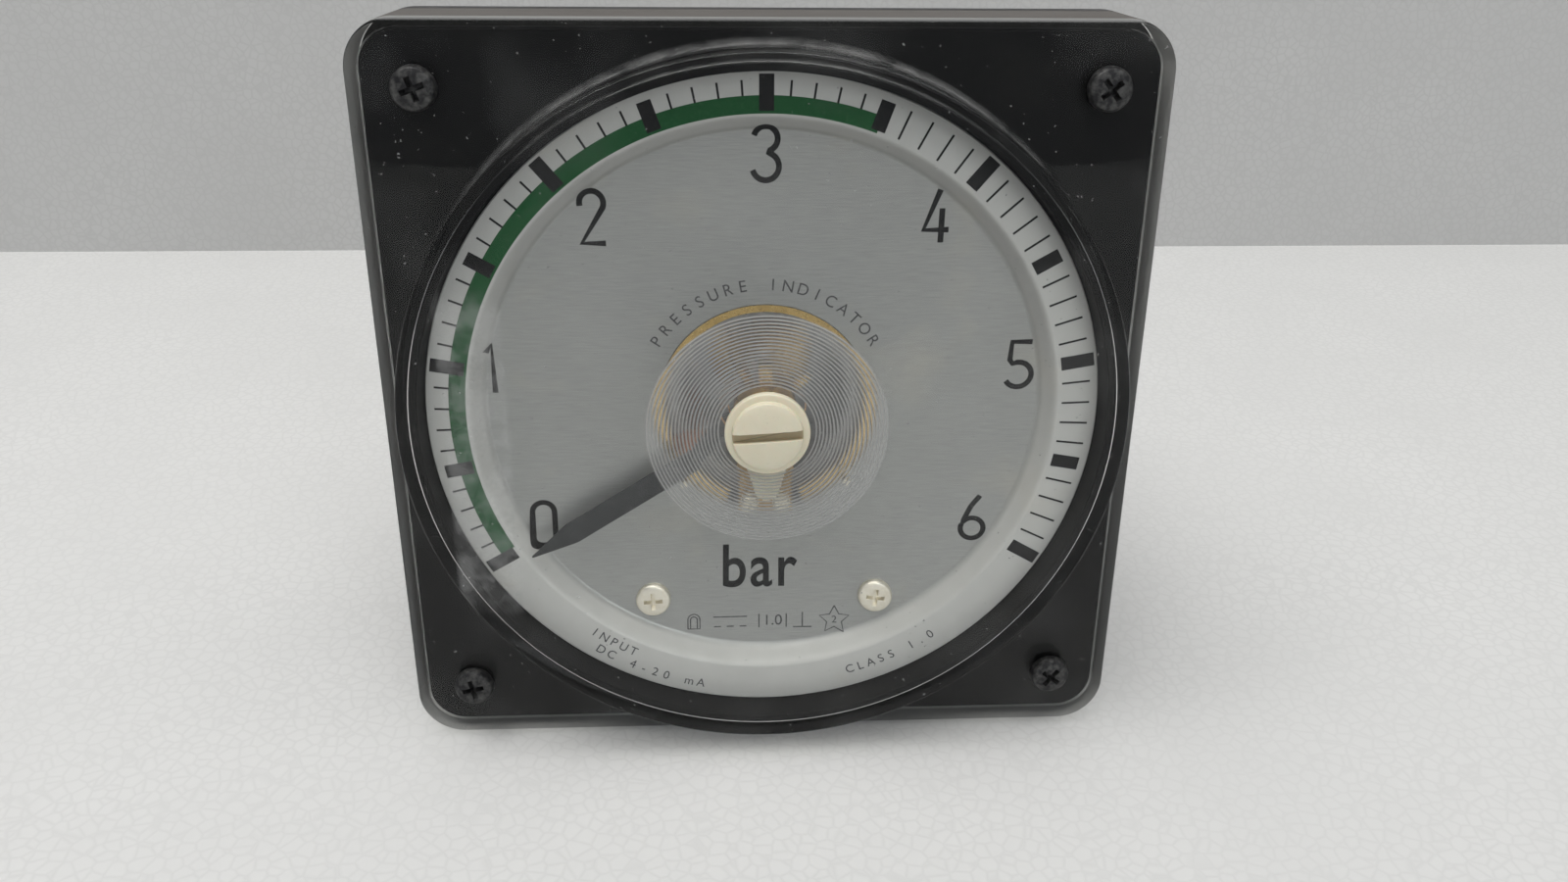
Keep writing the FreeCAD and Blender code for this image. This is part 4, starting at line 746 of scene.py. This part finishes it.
def terminals():
    """Two brass studs with their heads and nuts. The washers between keep their CAD shape, softened."""
    stud_low, stud_high = box_mm("terminal_studs")
    nut_low, nut_high = box_mm("terminal_nuts")
    nut_tall, head_tall, head_bore, under_pad = 4.0, 3.5, 1.0, 2
    plain = BARREL_END - under_pad - stud_low.y
    for side, name in ((-1, "plus"), (1, "minus")):
        x = side * TERMINAL_X
        stud = threaded(f"terminal_stud_{name}", stud_low.y, stud_high.y, BRASS, x, 0, plain)
        hex_nut(f"terminal_head_{name}", head_bore, stud_low.y, stud_low.y + head_tall, x)
        inner = hex_nut(f"terminal_nut_inner_{name}", M5_RADIUS, nut_low.y, nut_low.y + nut_tall, x)
        hex_nut(f"terminal_nut_outer_{name}", M5_RADIUS, nut_high.y - nut_tall, nut_high.y, x)
        if side < 0:
            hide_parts("terminal_studs")
            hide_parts("terminal_nuts")


# ---- dial and its print ----

def dial_front(radius):
    """Where the dial's front lies at a radius."""
    k = min(1.0, max(0.0, (radius - BEVEL_IN) / (BEVEL_OUT - BEVEL_IN)))
    return CENTRE_Y + (SCALE_Y - CENTRE_Y) * (3 - 2 * k) * k * k


def dial_profile():
    """Points (radius, y) up the dial's bevel: a soft S from the flat middle to the raised band."""
    steps = 14
    radii = [BEVEL_IN + (BEVEL_OUT - BEVEL_IN) * i / steps for i in range(steps + 1)]
    return [(r, dial_front(r)) for r in radii]


def dial():
    """The dial plate: its front up the bevel, and its back a plate's thickness behind."""
    edge = 0.15
    front = [(DIAL_HOLE_R, CENTRE_Y + edge), (DIAL_HOLE_R + edge, CENTRE_Y)] + dial_profile() + [
        (DIAL_R - edge, SCALE_Y), (DIAL_R, SCALE_Y + edge)]
    back = [(r, y + DIAL_T) for r, y in reversed(front[2:-2])]
    outline = front + [(DIAL_R, SCALE_Y + DIAL_T)] + back + [(DIAL_HOLE_R, CENTRE_Y + DIAL_T)]
    lathe("dial", outline, DIAL, "case", ("dial_plate",), steps=240, sharp=35)


def polar(radius, degrees, y):
    """A point at a distance from the axis, in degrees clockwise from the top."""
    turn = math.radians(degrees)
    return Vector((radius * math.sin(turn), y, radius * math.cos(turn)))


def scale_angle(value):
    """Degrees clockwise from the top at which the scale has a value."""
    return SCALE_SWEEP * (value / SCALE_TOP - 0.5)


def mark(inner, outer, width, degrees):
    """Corner points of one radial mark on the scale band: its front, and then its back."""
    turn = math.radians(degrees)
    along, across = Vector((math.sin(turn), 0, math.cos(turn))), Vector((math.cos(turn), 0, -math.sin(turn)))
    corners = ((inner, -width / 2), (inner, width / 2), (outer, width / 2), (outer, -width / 2))
    flat = [along * r + across * s for r, s in corners]
    return [p + Vector((0, y, 0)) for y in (SCALE_Y - MARK_THICK, SCALE_Y) for p in flat]


BOX_FACES = [(0, 1, 2, 3), (7, 6, 5, 4), (0, 4, 5, 1), (1, 5, 6, 2), (2, 6, 7, 3), (3, 7, 4, 0)]


def scale_marks():
    """A block at each half unit, longer at the units, and a fine line at each tenth."""
    block_wide, line_wide, overlap = 2.0, 0.3, 0.05
    points, faces = [], []
    for i in range(SCALE_TOP * 10 + 1):
        unit, half = i % 10 == 0, i % 5 == 0
        outer = UNIT_OUT if unit else MINOR_OUT
        inner = GREEN_OUT - overlap if not half and i < GREEN_TOP * 10 else TICK_IN
        start = len(points)
        points += mark(inner, outer, block_wide if half else line_wide, scale_angle(i / 10))
        faces += [tuple(start + k for k in face) for face in BOX_FACES]
    piece("scale_marks", points, faces, INK, "case", sharp=20)


def green_band():
    """The green arc of the scale, as a thin layer that starts just past the zero mark's middle."""
    steps, past_zero = 120, 1.2
    front, back = SCALE_Y - 0.012, SCALE_Y - 0.002
    start, end = scale_angle(0) + past_zero, scale_angle(GREEN_TOP)
    rings = []
    for r, y in ((GREEN_IN, back), (GREEN_IN, front), (GREEN_OUT, front), (GREEN_OUT, back)):
        rings.append([polar(r, start + (end - start) * i / steps, y) for i in range(steps + 1)])
    count = steps + 1
    points = [p for ring in rings for p in ring]
    faces = [(a * count + i, a * count + i + 1, b * count + i + 1, b * count + i)
             for a, b in ((0, 1), (1, 2), (2, 3), (3, 0)) for i in range(steps)]
    faces += [tuple(k * count for k in range(4)), tuple(k * count + steps for k in reversed(range(4)))]
    piece("green_band", points, faces, GREEN, "case", sharp=20)


def arc(x, z, radius, start, end, steps=14):
    """Points round an arc, in degrees anticlockwise from +X."""
    turns = [math.radians(start + (end - start) * i / steps) for i in range(steps + 1)]
    return [(x + radius * math.cos(t), z + radius * math.sin(t)) for t in turns]


NUMERALS = {
    0: [arc(0, 2.0, 1.62, 0, 180) + arc(0, -2.0, 1.62, 180, 360) + [(1.62, 2.0)]],
    1: [[(-0.75, 2.7), (0.0, 3.65), (0.0, -3.65)]],
    2: [arc(0, 2.0, 1.65, 195, -25) + [(-1.6, -3.6), (1.7, -3.6)]],
    3: [arc(0, 1.95, 1.65, 165, -70) + arc(0, -1.75, 1.85, 78, -165)],
    4: [[(0.35, 3.7), (-1.75, -1.9), (1.8, -1.9)], [(0.75, 1.1), (0.75, -3.7)]],
    5: [[(1.7, 3.5), (-1.2, 3.5), (-1.35, 0.75)] + arc(0, -1.6, 1.95, 118, -150)],
    6: [[(1.0, 3.7), (-0.3, 1.9), (-1.35, -0.6)] + arc(0, -1.9, 1.75, 155, -205, 26)],
}


def mesh_of(name, data):
    """The mesh that a curve or a text makes."""
    holder = linked(name, data)
    mesh = bpy.data.meshes.new_from_object(holder.evaluated_get(bpy.context.evaluated_depsgraph_get()))
    bpy.data.objects.remove(holder, do_unlink=True)
    return mesh


def stroke(paths, width, x, z, thick=0.03):
    """Pen strokes with round ends, as a thin layer of ink on the dial."""
    curve = bpy.data.curves.new("stroke", "CURVE")
    curve.dimensions = "3D"
    curve.bevel_depth = width / 2
    curve.bevel_resolution = 4
    curve.use_fill_caps = True
    for path in paths:
        line = curve.splines.new("POLY")
        line.points.add(len(path) - 1)
        for point, (across, up) in zip(line.points, path):
            point.co = (across, up, 0, 1)
    mesh = mesh_of("stroke", curve)
    flatten = Matrix.Diagonal((1, 1, 2 * thick / width, 1))
    lay = Matrix.Rotation(math.radians(90), 4, "X") @ flatten
    mesh.transform(Matrix.Scale(MM, 4) @ Matrix.Translation((x, CENTRE_Y, z)) @ lay)
    return mesh


def printed_piece(name, meshes, material):
    """One layer of print from several meshes, which follows the dish of the dial."""
    work = bmesh.new()
    for mesh in meshes:
        work.from_mesh(mesh)
        bpy.data.meshes.remove(mesh)
    for corner in work.verts:
        corner.co.y += (dial_front(math.hypot(corner.co.x, corner.co.z) / MM) - CENTRE_Y) * MM
    mesh = bpy.data.meshes.new(name)
    work.to_mesh(mesh)
    work.free()
    return shown(bpy.data.objects.new(name, mesh), material, "case")


def numerals():
    """The figures. Three of them stand a little aside from their marks' radius, as on the real dial."""
    aside, pen = {0: -1.4, 1: -2.5, 5: 0.7}, 0.82
    meshes = []
    for value, paths in NUMERALS.items():
        at = polar(NUMERAL_R, scale_angle(value), CENTRE_Y)
        meshes.append(stroke(paths, pen, at.x + aside.get(value, 0.0), at.z))
    printed_piece("numerals", meshes, INK)


def text_mesh(words, tall, x, z, turn=0.0, weight=0.0, spacing=1.0, narrow=1.0):
    """Printed lettering, centred on x, z. Narrow is its width against the plain letters'."""
    text = bpy.data.curves.new("text", "FONT")
    text.body = words
    text.size = tall / CAPITAL_SHARE
    text.align_x = "CENTER"
    text.align_y = "CENTER"
    text.offset = weight
    text.space_character = spacing
    text.extrude = 0.015
    text.resolution_u = 6
    mesh = mesh_of("text", text)
    squeeze = Matrix.Diagonal((narrow, 1, 1, 1))
    lay = Matrix.Rotation(math.radians(90), 4, "X") @ Matrix.Rotation(math.radians(-turn), 4, "Z") @ squeeze
    mesh.transform(Matrix.Scale(MM, 4) @ Matrix.Translation((x, CENTRE_Y, z)) @ lay)
    return mesh


def arc_text(words, tall, radius, middle, step, upright=True):
    """Letters set one by one round the dial. Under the middle they read along the bottom of the arc."""
    letters = []
    for i, letter in enumerate(words):
        offset = (i - (len(words) - 1) / 2) * step
        degrees = middle + (offset if upright else -offset)
        if letter == " ":
            continue
        at = polar(radius, degrees, 0)
        letters.append(text_mesh(letter, tall, at.x, at.z, degrees if upright else degrees + 180))
    return letters


def dial_print():
    """The unit, a generic title and range, and the standard symbols."""
    unit = text_mesh("bar", 7.6, -1.0, -27.5, weight=0.12, spacing=1.1, narrow=0.82)
    printed_piece("unit_name", [unit], INK)
    fine = arc_text("PRESSURE INDICATOR", 1.75, 19.3, 0, 6.6)
    fine += arc_text("INPUT", 1.5, 44.6, -148, 2.2, upright=False)
    fine += arc_text("DC 4-20 mA", 1.5, 46.7, -157, 2.3, upright=False)
    fine += arc_text("CLASS 1.0", 1.5, 45.6, 154, 2.2, upright=False)
    printed_piece("fine_print", fine + symbols(), FINE_INK)


def symbols():
    """Moving coil, direct current, accuracy class, upright mounting and test voltage."""
    level, pen, foot, top = -36.8, 0.2, -1.2, 1.2
    class_x, star_x, star_reach, dash_pitch = 1.3, 11.2, (2.5, 1.25), 2.05
    outer = [(-0.95, foot), (-0.95, 0.45)] + arc(0, 0.45, 0.95, 180, 0, 10) + [(0.95, foot), (-0.95, foot)]
    inner = [(-0.55, foot), (-0.55, 0.4)] + arc(0, 0.4, 0.55, 180, 0, 8) + [(0.55, foot)]
    dashes = [[(-2.6 + dash_pitch * i, -0.9), (-1.5 + dash_pitch * i, -0.9)] for i in range(3)]
    current = [[(-2.7, 0.8), (2.7, 0.8)]] + dashes
    bars = [[(-2.2, foot), (-2.2, top)], [(2.2, foot), (2.2, top)]]
    upright = [[(-1.5, foot), (1.5, foot)], [(0, foot), (0, 1.4)]]
    star = []
    for i in range(11):
        turn, reach = math.pi * i / 5, star_reach[i % 2]
        star.append((math.sin(turn) * reach, math.cos(turn) * reach))
    rows = ((-11.3, [outer, inner]), (-5.5, current), (class_x, bars), (6.1, upright), (star_x, [star]))
    meshes = [stroke(paths, pen, x, level, thick=0.02) for x, paths in rows]
    meshes.append(text_mesh("1.0", 1.9, class_x, level))
    meshes.append(text_mesh("2", 1.3, star_x, level))
    return meshes


# ---- pointer and zero adjuster ----

def pointer():
    """The lance: hub, low arm, rise through the dial's hole, and a flat blade with a long point."""
    low, blade_y, thick, width = -11.3, -17.0, 0.4, 3.4
    root, rise, top, shoulder, tip = 1.6, 9.0, 12.6, 34.6, 41.7
    half, tip_half, arm_half, fold, lap = width / 2, 0.1, width * 0.4, 0.3, 2
    blade = [(-half, top), (half, top), (half, shoulder), (tip_half, tip),
             (-tip_half, tip), (-half, shoulder)]
    points = [(x, y, z) for y in (blade_y, blade_y + thick) for x, z in blade]
    faces = prism_faces(len(blade))
    side = [(low, root), (low, rise), (blade_y, top), (blade_y, top + lap), (blade_y + thick, top + lap),
            (blade_y + thick, top + fold), (low + thick, rise + fold), (low + thick, root)]
    faces += prism_faces(len(side), len(points))
    points += [(x, y, z) for x in (-arm_half, arm_half) for y, z in side]
    spin = Matrix.Rotation(math.radians(POINTER_REST), 3, "Y")
    points = [spin @ Vector(p) for p in points]
    needle = piece("needle", points, faces, LACQUER, "rotor", ("pointer",), sharp=30)
    bevelled(needle, 0.08, 2, 30)
    bore, hub_r, front, rear = 0.62, 2.2, low - 0.5, low + 0.9
    hub = [(bore, front, 0.1), (hub_r, front, 0.2), (hub_r, rear, 0.2), (bore, rear, 0.1)]
    lathe("needle_hub", hub, LACQUER, "rotor", steps=64)
    for degrees, reach in ((90, 7.0), (270, 7.0), (180, 8.3)):
        arm = arm_rod(degrees + POINTER_REST, 2.0, reach, 0.3, low + thick / 2)
        piece(f"needle_arm_{degrees}", *arm, LACQUER, "rotor")


def arm_rod(degrees, start, end, radius, y):
    """Points and faces of a round arm that points out from the spindle."""
    steps = 16
    out = polar(1, degrees, 0)
    across = out.cross(Y_AXIS)
    turns = [2 * math.pi * i / steps for i in range(steps)]
    ring = [across * math.cos(t) * radius + Y_AXIS * (math.sin(t) * radius) for t in turns]
    rings = [[out * r + Vector((0, y, 0)) + p for p in ring] for r in (start, end)]
    points, faces = skin(rings)
    return points, faces + [tuple(range(steps)), tuple(reversed(range(steps, 2 * steps)))]


def adjuster():
    """The slotted ivory knob: cap, flange, neck through the window and stem, with its crank."""
    crown, step, seat, neck_end = KNOB_LOW.y, -24.0, -22.9, -20.7
    flange_r, neck_r, stem_r = 6.05, 4.02, 2.2
    outline = [(0, crown), (4.0, crown + 0.05), (KNOB_CAP_R, crown + 0.35, 0.3), (KNOB_CAP_R, step),
               (flange_r, step, 0.3), (flange_r, seat, 0.15), (neck_r, seat), (neck_r, neck_end),
               (stem_r, neck_end), (stem_r, KNOB_HIGH.y), (0, KNOB_HIGH.y)]
    knob = lathe("zero_knob", outline, IVORY, "adjuster", ("zero_adjuster",), steps=128)
    half, long, deep, clear = 1.35 / 2, 8, 0.9, 1
    turn = Matrix.Rotation(math.radians(-3.5), 3, "Y")
    corners = [turn @ Vector((x, y, z)) for y in (crown - clear, crown + deep)
               for x, z in ((-long, -half), (long, -half), (long, half), (-long, half))]
    cutter_mesh = bpy.data.meshes.new("slot_cutter")
    cutter_mesh.from_pydata([p * MM for p in corners], [], BOX_FACES)
    cut_away(knob, linked("slot_cutter", cutter_mesh))
    bevelled(knob, 0.09, 3, 50)
    knob.data.shade_smooth()
    knob.data.set_sharp_from_angle(angle=math.radians(35))
    crank()


def crank():
    """The drop-shaped arm behind the window, with its driving pin."""
    root, tip, reach, thick, pin_r = 4.4, 1.85, 9.8, 1.2, 0.8
    lean = math.degrees(math.asin((root - tip) / reach))
    outline = arc(0, 0, root, -lean, 180 + lean, 40) + arc(0, -reach, tip, 180 + lean, 360 - lean, 24)
    front, rear = CRANK_LOW.y, CRANK_LOW.y + thick
    points = [(x, y, z) for y in (front, rear) for x, z in outline]
    faces = prism_faces(len(outline))
    drop = piece("crank_drop", points, faces, IVORY, "adjuster", ("zero_crank",), sharp=30)
    bevelled(drop, 0.18, 3, 50)
    pin = [(0, rear - 0.1), (pin_r, rear - 0.1), (pin_r, CRANK_HIGH.y, 0.2), (0, CRANK_HIGH.y)]
    lathe("crank_pin", pin, IVORY, "adjuster", steps=32, z=-reach)


# ---- stage, lights and camera ----

LEAN = math.atan2(FLANGE_HALF - BARREL_R, BARREL_END - 1)
WALL_AT = 217


def on_floor(x, along, up):
    """A place on the floor under the leaning meter, in millimetres along and above it."""
    forward = Vector((0, math.cos(LEAN), math.sin(LEAN)))
    upward = Vector((0, -math.sin(LEAN), math.cos(LEAN)))
    return (Vector((x, 0, -FLANGE_HALF)) + forward * along + upward * up) * MM


def stage():
    """A pale foam board to stand on, and behind it the same foam coloured darker grey, painted shade."""
    side, near, tall = 1200, -900, 700
    floor = bpy.data.meshes.new("floor")
    floor.from_pydata([on_floor(-side, near, 0), on_floor(side, near, 0), on_floor(side, WALL_AT, 0),
                       on_floor(-side, WALL_AT, 0)], [], [(0, 1, 2, 3)])
    far = bpy.data.meshes.new("backdrop")
    far.from_pydata([on_floor(-side, WALL_AT, 0), on_floor(side, WALL_AT, 0), on_floor(side, WALL_AT, tall),
                     on_floor(-side, WALL_AT, tall)], [], [(0, 1, 2, 3)])
    # The backdrop is the floor's foam in darker colours: painted shade.
    for mesh, pale, dark in ((floor, 0.80, 0.72), (far, 0.62, 0.55)):
        obj = linked(mesh.name, mesh)
        mesh.materials.append(foam_board(f"{mesh.name}_board", pale, dark, one_sided=mesh is far))


def foam_board(name, pale, dark, one_sided):
    """Expanded foam: soft beads of a few millimetres. One-sided foam is clear from behind."""
    bead = 2.3 * MM
    s = Shader(name, (pale, pale, pale), 0.6)
    beads = s.node("TexVoronoi", {"Vector": s.place, "Scale": 1 / bead}, feature="DISTANCE_TO_EDGE")
    seams = s.ramp(beads.outputs["Distance"], 0.0, 0.16)
    share = s.product(seams, s.noise(40, 3))
    s.colour(s.mix(share, (dark, dark, dark * 0.99), (pale, pale, pale * 0.99)))
    s.bump(s.total(seams, s.noise(0.8, 3)), 0.06, 0.4)
    if one_sided:
        back = s.node("NewGeometry").outputs["Backfacing"]
        s.surface(back, s.main.outputs["BSDF"], s.node("BsdfTransparent").outputs["BSDF"])
    return s.material


def lamp(name, place, target, size, power, tint):
    """A soft rectangular lamp that faces its target."""
    data = bpy.data.lights.new(name, "AREA")
    data.shape = "RECTANGLE"
    data.size, data.size_y = size
    data.energy = power
    data.color = tint
    obj = linked(name, data)
    obj.location = place
    obj.rotation_euler = (target - place).to_track_quat("-Z", "Y").to_euler()


def light():
    """Soft studio light: a dim sky, a broad lamp above, a weak one in front and one on the wall."""
    world = bpy.data.worlds.new("studio")
    world.use_nodes = True
    sky = world.node_tree.nodes["Background"].inputs
    sky["Color"].default_value = (0.92, 0.95, 1.0, 1)
    sky["Strength"].default_value = 0.24
    bpy.context.scene.world = world
    middle = Vector((0, 0, 0))
    lamp("overhead", on_floor(-250, -330, 1450), middle, (1.3, 1.0), 12.5, (1.0, 0.985, 0.96))
    lamp("front_fill", on_floor(500, -1300, 700), middle, (0.8, 0.7), 3.0, (0.95, 0.98, 1.0))
    lamp("wall_wash", on_floor(0, -60, 900), on_floor(0, WALL_AT, 120), (1.4, 0.3), 2.0, (1.0, 0.99, 0.96))


def camera():
    """Stands in front, a little left of the middle, and looks down at the meter."""
    data = bpy.data.cameras.new("camera")
    data.lens = 29.475
    data.sensor_width = 36
    data.clip_start, data.clip_end = 0.01, 20
    place = Vector((-6.54, -189.57, 69.55)) * MM
    turn = Matrix.Rotation(math.radians(90), 4, "X")
    for degrees, axis in ((-23.07, "X"), (-2.81, "Y"), (-0.70, "Z")):
        turn = turn @ Matrix.Rotation(math.radians(degrees), 4, axis)
    obj = linked("camera", data)
    obj.matrix_world = Matrix.Translation(place) @ turn
    bpy.context.scene.camera = obj
    bpy.context.scene.view_settings.view_transform = "Standard"


camera()
stage()
light()
finish_cad_nodes()
cover()
mask()
cover_screws()
dial()
scale_marks()
green_band()
numerals()
dial_print()
dial_screws()
pointer()
adjuster()
softened("case_frame", CASE_BLACK, 0.35, "frame_shell")
softened("case_barrel", CASE_BLACK, 0.35, "barrel_shell")
panel_studs()
terminals()
softened("terminal_washers", BRASS, 0.1, "terminal_flat_washers")
softened("terminal_spring_washers", BRONZE, 0.1, "terminal_split_washers")
